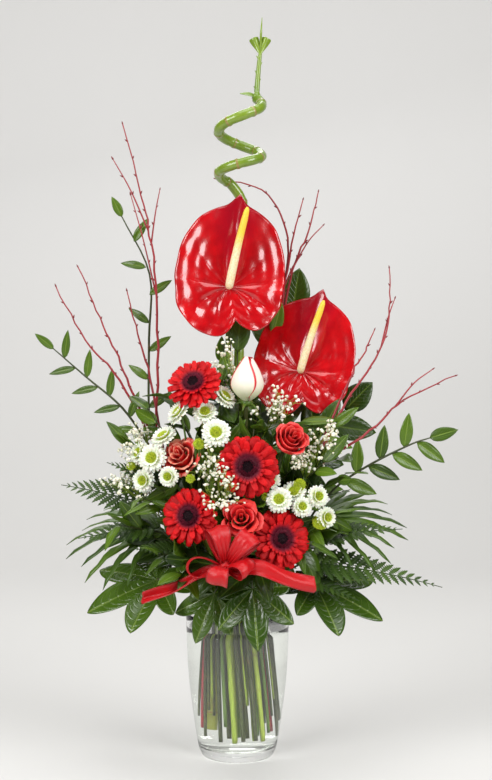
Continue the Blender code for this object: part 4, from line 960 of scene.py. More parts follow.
ray_red = Finish("gerbera_red_velvet", Roughness=0.45, Specular_IOR_Level=0.22)
_, ray_along = ray_red.across_and_along()
own_shade = ray_red.field("shade")
ray_lines = ray_red.noise(1.0, 2.0, ray_red.node("Mapping", sockets={"Vector": ray_red.node("UVMap"),
                                                                      "Scale": (26.0, 1.2, 1.0)}))
ray_colour = ray_red.mix(own_shade, (0.44, 0.0008, 0.003), (0.68, 0.0016, 0.004))
ray_out = ray_red.field("out")
ray_colour = ray_red.mix(ray_out.between(0.34, 0.56), (0.090, 0.0004, 0.012), ray_colour)
ray_red.set("Base Color", ray_red.mix(ray_lines.between(0.45, 0.75) * 0.25, ray_colour, (0.36, 0.001, 0.006)))
ray_red.relief(ray_lines, 0.0005, 0.6)


def eye_finish(name, dark, light):
    """The skin of the eye's florets, each with its own depth of colour."""
    finish = Finish(name, Roughness=0.55, Specular_IOR_Level=0.2)
    grain = finish.noise(700.0, 2.0)
    finish.set("Base Color", finish.mix(finish.field("shade") * 0.7 + grain * 0.3, dark, light))
    return finish.relief(grain, 0.0003, 0.6)


eye_dark = eye_finish("gerbera_dark_eye", (0.006, 0.0006, 0.003), (0.026, 0.0015, 0.007))
eye_maroon = eye_finish("gerbera_maroon_rim", (0.050, 0.0004, 0.008), (0.150, 0.001, 0.018))

for number, (name, (at, facing, radius)) in enumerate(GERBERAS.items()):
    draw = random.Random(40 + number)
    place = looking(at, facing)
    long_ray = gerbera_ray(radius - 5.5, -1.8, -0.4, radius)
    middle_ray = gerbera_ray(radius * 0.95 - 5.5, 0.4, 0.0, radius, 0.6)
    short_ray = gerbera_ray(radius * 0.82 - 5.5, 1.8, 1.4, radius, -0.5)
    inner_ray = gerbera_ray(radius * 0.48 - 3.0, 0.8, 1.2, radius)
    places, masters = [], []
    for ray, count, start, low, tilt, phase in ((long_ray, 18, 5.5, -0.6, -1, 0), (middle_ray, 18, 5.5, 0.3, 1, 9),
                                                (short_ray, 13, 5.5, 1.4, 3, 3), (inner_ray, 24, 5.4, 2.2, 9, 0)):
        for spot in whorl(count, start, low, tilt, phase, draw):
            places.append(place @ spot)
            masters.append(ray)
    rays = copied(name + "_whorls", masters, places, seed=number)
    cup = spun("cup", [(0, -6.2), (2.6, -6.2), (3.8, -5.6), (6.5, -3.4), (9.4, -1.0), (9.5, 0.6), (6, 1.8), (0, 2.2)], 32)
    cup.data.transform(TO_METRES @ place)
    cup.data.materials.append(bloom_stem_green.material)
    rays.data.materials.append(ray_red.material)
    rays = joined(name + "_whorls", [rays, cup])
    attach(rays, "root")
    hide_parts(name + "_rays")
    removed(long_ray, middle_ray, short_ray, inner_ray)
    closed_floret, open_floret = tiny_floret(1.15, 2.6, False), tiny_floret(1.5, 3.6, True)
    inside, rim = [], []
    for step in range(118):
        ring_radius = 8.4 * math.sqrt((step + 0.5) / 118)
        dome = 3.6 - 1.3 * (ring_radius / 8.4) ** 2 + (0.9 if 4.6 < ring_radius < 7.2 else 0)
        tilt = -30 * ring_radius / 8.4
        spot = place @ turned(math.degrees(step * GOLDEN)) @ moved(0, ring_radius, dome - 1.2) @ turned(tilt, "X")
        (rim if ring_radius > 5.6 else inside).append(spot)
    pad = spun("pad", [(0, 1.6), (8.0, 1.8), (8.4, 2.8), (6.6, 3.5), (3.0, 4.0), (0, 4.1)], 24)
    pad.data.transform(TO_METRES @ place)
    closed_florets = copied(name + "_closed", [closed_floret], inside, seed=number)
    open_florets = copied(name + "_open", [open_floret], rim, seed=number)
    for part, finish in ((pad, eye_dark), (closed_florets, eye_dark), (open_florets, eye_maroon)):
        part.data.materials.append(finish.material)
    florets = joined(name + "_florets", [closed_florets, open_florets, pad])
    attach(florets, "root")
    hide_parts(name + "_eye")
    removed(closed_floret, open_floret)

# %% [markdown]
# A rose is cupped petals round a closed heart, each ring wider, lower and further open than the one
# inside it. A petal is a flat blade wrapped round the bloom's axis: how far across it a point lies
# becomes an angle, and how far up becomes a height, with the lip rolled back.

# %% Roses
ROSES = {
    "rose_bud": ((10, -64, 400), (0.04, -0.22, 0.97), 18, 50, 0.25),
    "rose_left": ((-56, -66, 336), (-0.35, -0.80, 0.48), 20, 26, 0.9),
    "rose_right": ((54, -80, 356), (0.30, -0.80, 0.50), 18, 26, 0.8),
    "rose_low": ((5, -104, 276), (-0.04, -0.90, 0.42), 19, 22, 1.0),
}
PETAL_HALVES = [0.22, 0.48, 0.72, 0.90, 1.0, 1.0, 0.92, 0.74, 0.40]


def rose_petal(radius, height, half, roll, closing):
    """One petal that stands at a radius: its lip rolls outwards, or its upper part closes in."""
    petal = blade(height, [half * share for share in PETAL_HALVES], columns=8)

    def shape(x, y, z):
        share = y / height
        bulge = 2.6 + (radius - 2.6) * math.sin(math.pi / 2 * min(1.0, share / 0.42)) ** 0.8
        bulge *= 1 - closing * max(0.0, share - 0.36) ** 1.4 * 1.9
        lip = max(0.0, share - 0.62) / 0.38
        reach = bulge + roll * lip ** 2 - 0.3 * math.sin(math.pi * share)
        angle = x / max(radius, 3.5)
        edge = roll * 0.30 * lip * (x / half) ** 2 + 0.35 * math.sin(3.1 * x + 2 * share) * lip * roll / 3
        return Vector(((reach + edge) * math.sin(angle), (reach + edge) * math.cos(angle),
                       y - roll * 0.55 * lip ** 3 - 0.4 * edge))
    return applied(bent(petal, shape), ("SOLIDIFY", dict(thickness=0.45, offset=0.0)), rounded(1))


def rose_finish(name, foot, body, edge, streaked, side_edge=0.18):
    """Velvety petals: one colour at the foot, one on the body and one along the lip and the sides."""
    finish = Finish(name, Roughness=0.45, Sheen_Weight=0.05, Subsurface_Weight=0.1, Subsurface_Scale=0.002)
    across, up = finish.across_and_along()
    own = finish.field("shade")
    veins = finish.noise(1.0, 3.0, finish.node("Mapping", sockets={"Vector": finish.node("UVMap"),
                                                                      "Scale": (16.0, 1.6, 1.0)}))
    body_colour = finish.mix(up.between(0.15, 0.60), foot, body)
    from_middle = abs(across - 0.5) * 2
    lip = up * (1 - side_edge * 0.4) + from_middle ** 3 * side_edge + (veins - 0.5) * streaked + (own - 0.5) * 0.3
    finish.set("Base Color", finish.mix(lip.between(0.70, 0.95), body_colour, edge))
    return finish.relief(veins, 0.0004, 0.5)


ROSE_FINISHES = {
    "rose_bud": rose_finish("rose_cream_red_lip", (0.62, 0.64, 0.42), (0.90, 0.80, 0.70),
                            (0.62, 0.002, 0.010), 0.30, 0.95),
    "rose_left": rose_finish("rose_orange_red", (0.50, 0.020, 0.010), (0.70, 0.014, 0.010),
                             (0.84, 0.30, 0.20), 1.1, 0.5),
    "rose_right": rose_finish("rose_coral", (0.46, 0.002, 0.005), (0.66, 0.006, 0.008), (0.78, 0.06, 0.05), 0.6),
    "rose_low": rose_finish("rose_full_red", (0.34, 0.001, 0.004), (0.60, 0.002, 0.005), (0.72, 0.028, 0.020), 0.5),
}
bud_red = rose_finish("rose_bud_red", (0.62, 0.30, 0.20), (0.60, 0.004, 0.012), (0.50, 0.001, 0.010), 0.5)


def turn_towards(place, direction):
    """The angle about a bloom's axis that points a petal in a direction of the room."""
    local = place.inverted().to_3x3() @ Vector(direction)
    return math.degrees(math.atan2(-local.x, local.y))


for number, (name, (at, facing, radius, height, opened)) in enumerate(ROSES.items()):
    draw = random.Random(60 + number)
    place = looking(at, facing)
    petals, places = [], []
    closed = opened < 0.5
    rings = 4 if closed else 5
    for ring_number in range(rings):
        share = ring_number / (rings - 1 if not closed else rings)
        ring_radius = 1.8 + (radius - 4.2) * share
        ring_height = height * (0.97 - 0.30 * opened * share ** 1.8)
        count = (2, 3, 3, 3)[ring_number] if closed else (2, 3, 3, 4, 5)[ring_number]
        half = max(4.2, (1.45 if closed else 1.25) * math.pi * max(ring_radius, 3.0) / count)
        roll = 0.0 if closed else 1.0 + 6.4 * opened * share
        petal = rose_petal(ring_radius, ring_height, half, roll, 0.95 - 0.85 * opened)
        for step in range(count):
            angle = 360 * step / count + 137.5 * ring_number + draw.uniform(-8, 8)
            tilt = -(1 + 12 * opened * share ** 1.5) * draw.uniform(0.6, 1.1)
            petals.append(petal)
            places.append(place @ turned(angle) @ turned(tilt, "X") @ moved(0, 0, -0.5))
    if closed:
        outer = rose_petal(radius, height * 0.96, radius * 1.5, 0.0, 0.72)
        narrow = rose_petal(radius, height * 0.93, radius * 1.02, 0.0, 0.72)
        backs = [place @ turned(turn_towards(place, way)) @ moved(0, 0, -0.5)
                 for way in ((-1, -0.1, 0), (0.2, 1, 0), (0.9, 0.6, 0))]
        fronts = [place @ turned(turn_towards(place, way)) @ moved(0, 0, -0.5) @ Matrix.Scale(size, 4)
                  for way, size in (((0.75, -0.7, 0), 1.04), ((-0.42, -1, 0), 1.09))]
        red_part = copied(name + "_backs", [outer], backs, seed=9)
        removed(outer)
        red_part.data.materials.append(bud_red.material)
        petals += [narrow] * len(fronts)
        places += fronts
    bloom = copied(name + "_petals", petals, places, seed=number)
    removed(*set(petals))
    bloom.data.materials.append(ROSE_FINISHES[name].material)
    if closed:
        bloom = joined(name + "_petals", [bloom, red_part])
    hip = spun("hip", [(0, -6.4), (2.4, -6.3), (3.6, -5.4), (5.8, -3.2), (6.4, -0.6), (4.8, 1.5), (0, 2.5)], 24)
    hip.data.transform(TO_METRES @ place)
    sepal = blade(15, [1.6, 2.0, 1.9, 1.5, 1.0, 0.4, 0], columns=2)
    bent(sepal, lambda x, y, z: Vector((x, 4.5 + y * 0.75, -2.0 + 0.2 * abs(x) - 0.03 * y * y)))
    applied(sepal, thick(0.5), rounded(1))
    leaves = copied("sepals", [sepal], [place @ turned(72 * step + 20) for step in range(5)], seed=number)
    removed(sepal)
    green = joined("hip", [hip, leaves])
    green.data.materials.append(bloom_stem_green.material)
    bloom = joined(name + "_petals", [bloom, green])
    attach(bloom, "root")
    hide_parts(name + "_bloom")
    print(f"{name}: {len(bloom.data.polygons)} faces")

# %% [markdown]
# The small white chrysanthemums are daisy-like heads: two or three dense whorls of white rays, and a
# yellow-green button of closed florets with a small dark middle.

# %% Small chrysanthemums
MUM_HEADS = {
    "mum_left_1": ((-22, -92, 368), (-.05, -.93, .36), 16), "mum_left_2": ((-34, -74, 388), (0, -.80, .60), 14),
    "mum_left_3": ((-90, -78, 340), (-.30, -.90, .30), 16), "mum_left_4": ((-99, -76, 316), (-.50, -.85, .10), 13.5),
    "mum_left_5": ((-72, -92, 322), (-.30, -.93, .10), 11.5), "mum_right_1": ((44, -97, 298), (-.05, -.92, .38), 14.5),
    "mum_right_2": ((68, -92, 290), (.22, -.92, .30), 11.5), "mum_right_3": ((85, -86, 300), (.45, -.85, .30), 12.5),
}
EXTRA_HEADS = {
    "mum_left_6": ((-62, -74, 388), (-.75, -.35, .62), 15), "mum_left_7": ((-14, -66, 404), (.62, -.45, .70), 15),
    "mum_left_8": ((-78, -72, 362), (-.45, -.40, .80), 15), "mum_left_9": ((-104, -66, 344), (-.70, -.60, .40), 13),
    "mum_right_4": ((34, -84, 318), (.20, -.60, .78), 13), "mum_right_5": ((60, -82, 304), (-.10, -.80, .60), 14),
    "mum_right_6": ((94, -86, 278), (.55, -.80, .10), 12),
}
MUM_BUTTONS = [((-40, -92, 356), 6.5), ((-49, -97, 320), 5), ((-113, -66, 330), 5), ((88, -86, 273), 9.5),
               ((66, -82, 312), 7), ((30, -92, 300), 4.5)]
MUM_NODES = sorted(name for name in nodes if name.startswith("mum_") and "spray" not in name)
print("chrysanthemum solids:", MUM_NODES)


def mum_ray(length, lift, sag):
    """A white ray, spoon-shaped, with a shallow channel along it."""
    ray = blade(length, [length * half for half in (0.07, 0.11, 0.14, 0.16, 0.165, 0.14, 0.07)], columns=4)
    bent(ray, lambda x, y, z: Vector((x, y, lift * y / length + sag * (y / length) ** 2 + 0.14 * x * x)))
    return applied(ray, ("SOLIDIFY", dict(thickness=0.45, offset=0.0)))


ray_white = Finish("chrysanthemum_white", Roughness=0.5, Sheen_Weight=0.1, Subsurface_Weight=0.12,
                   Subsurface_Scale=0.002)
_, white_along = ray_white.across_and_along()
white_own = ray_white.field("shade")
white_lines = ray_white.noise(1.0, 2.0, ray_white.node("Mapping", sockets={"Vector": ray_white.node("UVMap"),
                                                                            "Scale": (18.0, 1.0, 1.0)}))
white_body = ray_white.mix(white_own, (0.82, 0.84, 0.70), (0.92, 0.92, 0.84))
ray_white.set("Base Color", ray_white.mix(white_along.between(0.0, 0.75), (0.50, 0.64, 0.16), white_body))
ray_white.relief(white_lines, 0.0003, 0.5)

button_green = Finish("button_yellow_green", Roughness=0.55)
button_own = button_green.field("shade")
button_green.set("Base Color", button_green.mix((button_own + button_green.noise(400.0) * 0.5 - 0.25).clamped(),
                                                (0.34, 0.46, 0.010), (0.66, 0.74, 0.030)))
button_green.relief(button_green.noise(600.0), 0.0003, 0.5)

dot_green = Finish("button_dark_dot", Roughness=0.6)
dot_green.set("Base Color", dot_green.mix(dot_green.noise(600.0), (0.030, 0.060, 0.006), (0.090, 0.140, 0.012)))
dot_green.relief(dot_green.noise(900.0), 0.0003, 0.5)


def button(place, radius, dome, draw_seed):
    """A domed spiral of closed florets for the middle of a head, in metres."""
    floret = tiny_floret(0.9, 1.9, False)
    places = []
    count = int(3.2 * radius ** 2)
    for step in range(count):
        ring_radius = radius * math.sqrt((step + 0.5) / count)
        rise = dome * (1 - (ring_radius / radius) ** 2)
        places.append(place @ turned(math.degrees(step * GOLDEN)) @ moved(0, ring_radius, rise - 0.6)
                      @ turned(-40 * ring_radius / radius, "X"))
    middle = copied("button", [floret], places, seed=draw_seed)
    removed(floret)
    return middle


for number, (name, (at, facing, radius)) in enumerate((MUM_HEADS | EXTRA_HEADS).items()):
    draw = random.Random(80 + number)
    place = looking(at, facing)
    start = radius * 0.22
    outer, middle, inner = (mum_ray(radius - start, 0.6, -0.8), mum_ray(radius * 0.92 - start, 1.6, 0.4),
                            mum_ray(radius * 0.70 - start, 2.4, 1.8))
    places, masters = [], []
    for ray, count, low, tilt in ((outer, 22, -0.4, -4), (middle, 22, 0.5, 4), (inner, 20, 1.2, 14)):
        for spot in whorl(count, start, low, tilt, 7 * low, draw, 4):
            places.append(place @ spot)
            masters.append(ray)
    rays = copied(name + "_rays", masters, places, seed=number)
    removed(outer, middle, inner)
    rays.data.materials.append(ray_white.material)
    middle_button = button(place @ moved(0, 0, 2.2), radius * 0.44, 1.0, number)
    middle_button.data.materials.append(button_green.material)
    dot = spun("dot", [(0, 2.6), (1.5, 2.8), (1.3, 3.9), (0, 4.3)], 12)
    dot.data.transform(TO_METRES @ place)
    dot.data.materials.append(dot_green.material)
    cup = spun("cup", [(0, -5), (1.6, -4.8), (3.4, -3.2), (5.0, -1.0), (4.4, 0.8), (0, 1.2)], 20)
    cup.data.transform(TO_METRES @ place)
    cup.data.materials.append(bloom_stem_green.material)
    head = joined(name + "_head", [rays, middle_button, cup, dot])
    node = min(MUM_NODES, key=lambda node: (sum(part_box(node), Vector()) / 2 / MM - Vector(at)).length)
    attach(head, "root")
    if name in MUM_HEADS:
        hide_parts(node)
        print(f"{name}: {len(head.data.polygons)} faces, for {node}")

# %% [markdown]
# Long branching stems are drawn as many rods at once: every line is a spline of one curve object.
# The sprays of small chrysanthemums branch from one stem to each head and to each green button.

# %% Branching stems


def rods(name, lines, fine=1):
    """Many thin rods, each a path with its radii, converted to one mesh."""
    curve = bpy.data.curves.new(name, "CURVE")
    curve.dimensions = "3D"
    curve.bevel_depth = 1
    curve.bevel_resolution = fine
    curve.use_fill_caps = True
    for path, radii in lines:
        radii = [radii] * len(path) if isinstance(radii, (int, float)) else radii
        spline = curve.splines.new("POLY")
        spline.points.add(len(path) - 1)
        for point, place, radius in zip(spline.points, path, radii):
            point.co = (*place, 1)
            point.radius = radius
    piece = bpy.data.objects.new(name, curve)
    bpy.context.scene.collection.objects.link(piece)
    only(piece)
    bpy.ops.object.convert(target="MESH")
    bpy.ops.object.mode_set(mode="EDIT")
    bpy.ops.mesh.select_all(action="SELECT")
    bpy.ops.mesh.remove_doubles(threshold=0.0005)
    bpy.ops.mesh.normals_make_consistent(inside=False)
    bpy.ops.object.mode_set(mode="OBJECT")
    bpy.ops.object.shade_smooth()
    return piece


def taper(path, low, high):
    return list(np.linspace(low, high, len(path)))


def sprig(start, end, sag=4.0):
    """A short curved branch from a place on a stem to a bloom."""
    start, end = Vector(start), Vector(end)
    middle = start.lerp(end, 0.5) + Vector((0, 0, -sag)) * 0.5
    return smooth_path([start, middle, end], 4)


MUM_SPRAYS = {"mum_spray_left": (-42, -48, 282), "mum_spray_right": (50, -58, 246)}
button_place = {}
for number, (node, top) in enumerate(MUM_SPRAYS.items()):
    side = node.rsplit("_", 1)[1]
    trunk = thinned(followed(node, top[2] - 30)) + [Vector(top)]
    trunk = smooth_path(trunk, 3)
    lines = [(trunk, taper(trunk, 2.0, 1.7))]
    left_side = side == "left"
    for head, (at, facing, radius) in (MUM_HEADS | EXTRA_HEADS).items():
        if side in head:
            end = Vector(at) - Vector(facing).normalized() * 4.5
            path = sprig(trunk[-1], end)
            lines.append((path, taper(path, 1.4, 1.1)))
    sprays_buttons = [entry for entry in MUM_BUTTONS if (entry[0][0] < 0) == left_side]
    for at, radius in sprays_buttons:
        path = sprig(trunk[-1], Vector(at) + Vector((0, 3, -2)))
        lines.append((path, taper(path, 1.2, 0.9)))
    branches = in_metres(rods(node, lines))
    branches.data.materials.append(bloom_stem_green.material)
    parts = [branches]
    for step, (at, radius) in enumerate(sprays_buttons):
        place = looking(at, (0, -0.85, 0.45))
        middle_button = button(place, radius * 0.82, radius * 0.5, 200 + step)
        middle_button.data.materials.append(button_green.material)
        parts.append(middle_button)
        under = spun("under", [(0, -radius * 0.6), (radius * 0.5, -radius * 0.45), (radius * 0.9, 0),
                               (radius * 0.7, radius * 0.25), (0, radius * 0.4)], 20)
        under.data.transform(TO_METRES @ place)
        under.data.materials.append(button_green.material)
        parts.append(under)
    spray = joined(node + "_branches", parts)
    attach(spray, "root")
    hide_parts(node)
    print(f"{spray.name}: {len(spray.data.polygons)} faces")

# %% [markdown]
# Baby's breath floats as a cloud of tiny white blooms on hair-thin forked stalks. A floret is a
# shallow cup of little petals, and each fork ends in one. The clouds stand where their solids do.

# %% Baby's breath
GYPSOPHILA = {
    "gypsophila_upper": [(48, -58, 392), (-8, -36, 432)], "gypsophila_right": [(94, -60, 350), (70, -72, 334)],
    "gypsophila_left": [(-114, -60, 308), (-106, -46, 346)], "gypsophila_front": [(-30, -96, 326), (-14, -106, 300)],
}
GYPSOPHILA_TOPS = {"gypsophila_upper": (18, -30, 345), "gypsophila_right": (72, -55, 300),
                   "gypsophila_left": (-84, -42, 272), "gypsophila_front": (-12, -72, 272)}


def breath_floret():
    """A tiny double bloom: a cone for its cup with a ring of petals drawn out round its rim."""
    only(sweep)
    bpy.ops.mesh.primitive_cone_add(vertices=10, radius1=0.35, radius2=1.5, depth=2.0, location=(0, 0, 1.0))
    floret = bpy.context.object
    bpy.ops.object.transform_apply(location=True, rotation=True, scale=True)
    bpy.ops.object.mode_set(mode="EDIT")
    select(lambda place: place.z > 1.9)
    bpy.ops.mesh.inset(thickness=0.5)
    bpy.ops.transform.translate(value=(0, 0, 0.55))
    bpy.ops.object.mode_set(mode="OBJECT")
    rim = [vert for vert in floret.data.vertices if math.hypot(vert.co.x, vert.co.y) > 1.2]
    for vert in rim:
        petal = 1.5 if round(math.atan2(vert.co.y, vert.co.x) / math.radians(36)) % 2 else 0.95
        vert.co = (vert.co.x * petal, vert.co.y * petal, vert.co.z + 0.3 * (petal - 1))
    bpy.ops.object.shade_smooth()
    return floret


def scattered(draw, spread):
    return Vector((draw.gauss(0, 1), draw.gauss(0, 1), draw.gauss(0, 1))) * spread


breath_white = Finish("baby_breath_white", Roughness=0.6, Subsurface_Weight=0.1, Subsurface_Scale=0.001)
breath_own = breath_white.field("shade")
breath_white.set("Base Color", breath_white.mix((breath_own + breath_white.noise(800.0) * 0.4 - 0.2).clamped(),
                                                (0.70, 0.68, 0.50), (0.92, 0.90, 0.80)))
breath_floret_master = breath_floret()
for number, (node, clouds) in enumerate(GYPSOPHILA.items()):
    draw = random.Random(300 + number)
    top = Vector(GYPSOPHILA_TOPS[node])
    trunk = smooth_path(thinned(followed(node, top.z - 14)) + [top], 3)
    lines = [(trunk, taper(trunk, 1.1, 0.9))]
    places = []
    for cloud in clouds:
        path = sprig(trunk[-1], cloud, sag=0)
        lines.append((path, taper(path, 0.7, 0.45)))
        for fork in range(13):
            root = path[3 + fork * 5 // 13] if fork < 11 else path[-1]
            end = Vector(cloud) + scattered(draw, 9.0) + Vector((0, -3, 3))
            twig = smooth_path([root, root.lerp(end, 0.55) + scattered(draw, 1.5), end], 3)
            lines.append((twig, taper(twig, 0.4, 0.25)))
            for tip_number in range(7):
                around = scattered(draw, 1.0) + Vector((0, -0.55, 0.5))
                tip = end + around.normalized() * draw.uniform(4.0, 9.5)
                start = twig[2 + tip_number % 5] if tip_number < 5 else end
                lines.append(([start, start.lerp(tip, 0.5) + scattered(draw, 0.6), tip], [0.24, 0.2, 0.2]))
                size = draw.uniform(0.8, 1.25)
                places.append(looking(tip - around.normalized() * 0.4, around) @ turned(draw.uniform(0, 72))
                              @ Matrix.Scale(size, 4))
    stalks = in_metres(rods(node, lines, fine=0))
    stalks.data.materials.append(lime_stem.material)
    florets = copied(node + "_cloud", [breath_floret_master], places, seed=number)
    florets.data.materials.append(breath_white.material)
    cloud_piece = joined(node + "_cloud", [florets, stalks])
    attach(cloud_piece, "root")
    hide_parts(node)
    print(f"{cloud_piece.name}: {len(places)} florets")
removed(breath_floret_master)

# %% [markdown]
# Red dogwood twigs give the bouquet its airy outline. Each shoot bends a little at every bud, so
# its path is roughened before the rod is drawn, and pointed buds sit on alternate sides.

# %% Red twigs
TWIG_TOPS = {"twigs_left": (-90, 2, 352), "twigs_right": (86, -52, 335), "twigs_back": (46, 46, 472)}
TWIGS = {
    "twigs_left": [[(-88, 2, 473), (-94, 2, 567), (-105, 0, 620), (-125, -5, 698)],
                   [(-111, -25, 398), (-129, -30, 444), (-148, -35, 487), (-171, -40, 542)],
                   [(-127, -38, 420), (-163, -48, 464), (-193, -55, 521)],
                   [(-97, 14, 420), (-111, 14, 470), (-122, 10, 516)]],
    "twigs_right": [[(118, -45, 398), (149, -40, 444), (164, -32, 490), (164, -30, 541)],
                    [(140, -72, 368), (176, -75, 401), (230, -75, 427)],
                    [(117, -34, 412), (136, -28, 447), (149, -20, 474)]],
    "twigs_back": [[(54, 46, 530), (55, 45, 585), (27, 40, 629), (-24, 34, 641)],
                   [(62, 48, 540), (80, 50, 585), (91, 60, 628)], [(58, 42, 556), (73, 40, 618)]],
}
SIDE_TWIGS = {
    "twigs_left": [(0, 0.66, (-135, -10, 659)), (0, 0.62, (-86, 20, 628)), (0, 0.45, (-118, 20, 622))],
    "twigs_right": [(0, 0.62, (171, -20, 508)), (1, 0.62, (206, -78, 434))],
    "twigs_back": [(0, 0.22, (71, 44, 556)), (1, 0.5, (96, 54, 590))],
}


def spot_on(path, share):
    """The place a share of the way along a path, and the direction there."""
    marks = lengths_along(path)
    mark = share * marks[-1]
    number = min(int(np.searchsorted(marks, mark, side="right")) - 1, len(path) - 2)
    number = max(number, 0)
    part = (mark - marks[number]) / max(marks[number + 1] - marks[number], 1e-6)
    return path[number].lerp(path[number + 1], min(part, 1.0)), (path[number + 1] - path[number]).normalized()


bud_master = spun("bud", [(0, 0), (0.9, 0.4), (1.15, 1.5), (0.8, 3.2), (0.25, 4.8), (0, 5.2)], 8)

twig_red = Finish("dogwood_red_bark", Roughness=0.42, Coat_Weight=0.15, Coat_Roughness=0.25)
bark = twig_red.noise(180.0, 3.0)
patch = twig_red.noise(34.0, 3.0)
bark_colour = twig_red.mix(bark * 0.5 + patch * 0.5, (0.16, 0.008, 0.014), (0.46, 0.030, 0.038))
twig_red.set("Base Color", twig_red.mix(patch.between(0.62, 0.8) * 0.6, bark_colour, (0.22, 0.10, 0.05)))
twig_red.relief(bark, 0.0004, 0.5)
bud_brown = Finish("dogwood_bud", Roughness=0.5)
bud_brown.set("Base Color", bud_brown.mix(bud_brown.noise(500.0), (0.10, 0.006, 0.010), (0.26, 0.02, 0.02)))
bud_brown.relief(bud_brown.noise(900.0), 0.0003, 0.5)

for number, (node, shoots) in enumerate(TWIGS.items()):
    draw = random.Random(400 + number)
    top = Vector(TWIG_TOPS[node])
    trunk = smooth_path(thinned(followed(node, top.z - 12)) + [top], 3)
    lines = [(trunk, taper(trunk, 1.75, 1.6))]
    paths = []
    for step, shoot in enumerate(shoots):
        fork, _ = spot_on(trunk, 1 - 0.035 * step)
        path = smooth_path([fork] + [Vector(place) for place in shoot], 6)
        path = path[:1] + [place + scattered(draw, 0.55) for place in path[1:-1]] + path[-1:]
        paths.append(path)
        lines.append((path, taper(path, 1.6, 0.6)))
    for shoot, share, tip in SIDE_TWIGS[node]:
        at, _ = spot_on(paths[shoot], share)
        path = smooth_path([at, at.lerp(Vector(tip), 0.5) + Vector((0, 0, 5)), Vector(tip)], 5)
        paths.append(path)
        lines.append((path, taper(path, 1.0, 0.5)))
    twigs = in_metres(rods(node, lines, fine=2))
    twigs.data.materials.append(twig_red.material)
    places = []
    for path in paths:
        length = lengths_along(path)[-1]
        count = int(length / 19)
        for step in range(1, count + 1):
            share = step / (count + 0.001)
            at, heading = spot_on(path, min(share, 0.999))
            side = heading.cross(Vector((0.2, 1, 0.1))).normalized() * (1 if step % 2 else -1)
            lean = heading if step == count else side + heading * 1.3
            places.append(looking(at, lean) @ Matrix.Scale(draw.uniform(0.6, 0.95), 4))
    buds = copied(node + "_shoots", [bud_master], places, seed=number)
    buds.data.materials.append(bud_brown.material)
    bunch = joined(node + "_shoots", [twigs, buds])
    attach(bunch, "root")
    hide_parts(node)
    print(f"{bunch.name}: {len(places)} buds")
removed(bud_master)

# %% [markdown]
# Leaves are blades folded a little along the midrib, with veins that slant towards the tip. One
# finish serves them all: the two numbers of the blade's own map say how near the midrib and how
# far along a point lies.

# %% Leaf finishes and masters


def leaf_finish(name, dark, light, rib, gloss=0.3, veins=9.0, slant=0.9, vein_depth=0.5):
    """A waxy leaf with a pale midrib, side veins, and darker and lighter patches."""
    finish = Finish(name, Roughness=gloss, Specular_IOR_Level=0.4, Coat_Weight=0.12, Coat_Roughness=0.18)
    across, up = finish.across_and_along()
    from_rib = abs(across - 0.5) * 2
    own = finish.field("shade")
    patch = finish.noise(38.0, 3.0)
    body = finish.mix((own * 0.7 + patch * 0.6 - 0.15).clamped(), dark, light)
    midrib = 1 - from_rib.between(0.02, 0.11)
    side_veins = abs(((up * veins - from_rib * slant * veins / 3) * math.pi).sine())
    side_line = (1 - side_veins.between(0.0, 0.22)) * vein_depth
    body = finish.mix(side_line * 0.55, body, rib)
    finish.set("Base Color", finish.mix(midrib * 0.8, body, rib))
    return finish.relief(side_veins.between(0.0, 0.5) * 0.5 + patch * 0.4 - midrib * 0.4, 0.0008, 0.5)


glossy_green = leaf_finish("leaf_glossy_green", (0.020, 0.052, 0.002), (0.098, 0.185, 0.006), (0.18, 0.27, 0.03))
# A darker copy of the glossy green: the salal leaves' own dark green, and painted shade for the broad leaves packed
# between the blooms.
dark_green_and_painted_shade = leaf_finish("leaf_dark_green_and_painted_shade", (0.010, 0.030, 0.002), (0.052, 0.105, 0.005), (0.10, 0.17, 0.02))
fern_green = leaf_finish("fern_green", (0.016, 0.044, 0.003), (0.058, 0.118, 0.007), (0.07, 0.12, 0.02),
                         gloss=0.45, veins=7.0)
palm_green = leaf_finish("palm_green", (0.026, 0.066, 0.004), (0.092, 0.175, 0.010), (0.13, 0.21, 0.03),
                         gloss=0.38, veins=0.5, vein_depth=0.1)
bright_green = leaf_finish("leaf_bright_green", (0.080, 0.170, 0.006), (0.200, 0.330, 0.015), (0.30, 0.42, 0.07))


def leaf(length, width, fold=0.22, arch=0.10, rows=9, wave=0.0):
    """A pointed leaf along +Y, widest below its middle."""
    halves = []
    for row in range(rows + 1):
        share = row / rows
        halves.append(width / 2 * max(0.0, math.sin(math.pi * share ** 0.8)) ** 0.8)
    piece = blade(length, halves, columns=4)

    def shape(x, y, z):
        share = y / length
        return Vector((x, y, fold * abs(x) - arch * length * share ** 2
                       + wave * math.sin(9 * share) * abs(x) / max(width / 2, 1)))
    return applied(bent(piece, shape), ("SOLIDIFY", dict(thickness=0.5, offset=0.0)))


def tip_near(node, root, length, wanted):
    """The direction of a leaf of the solid: its tip is a point about its length away from its root."""
    spots = np.array([vert.co[:] for vert in nodes[node].data.vertices]) / MM - np.array(root[:])
    reach = np.linalg.norm(spots, axis=1)
    spots = spots[np.abs(reach - length) < 1.6]
    if not len(spots):
        return Vector(wanted)
    best = (spots @ np.array(wanted.normalized()[:]) / np.linalg.norm(spots, axis=1)).argmax()
    return Vector(spots[best])


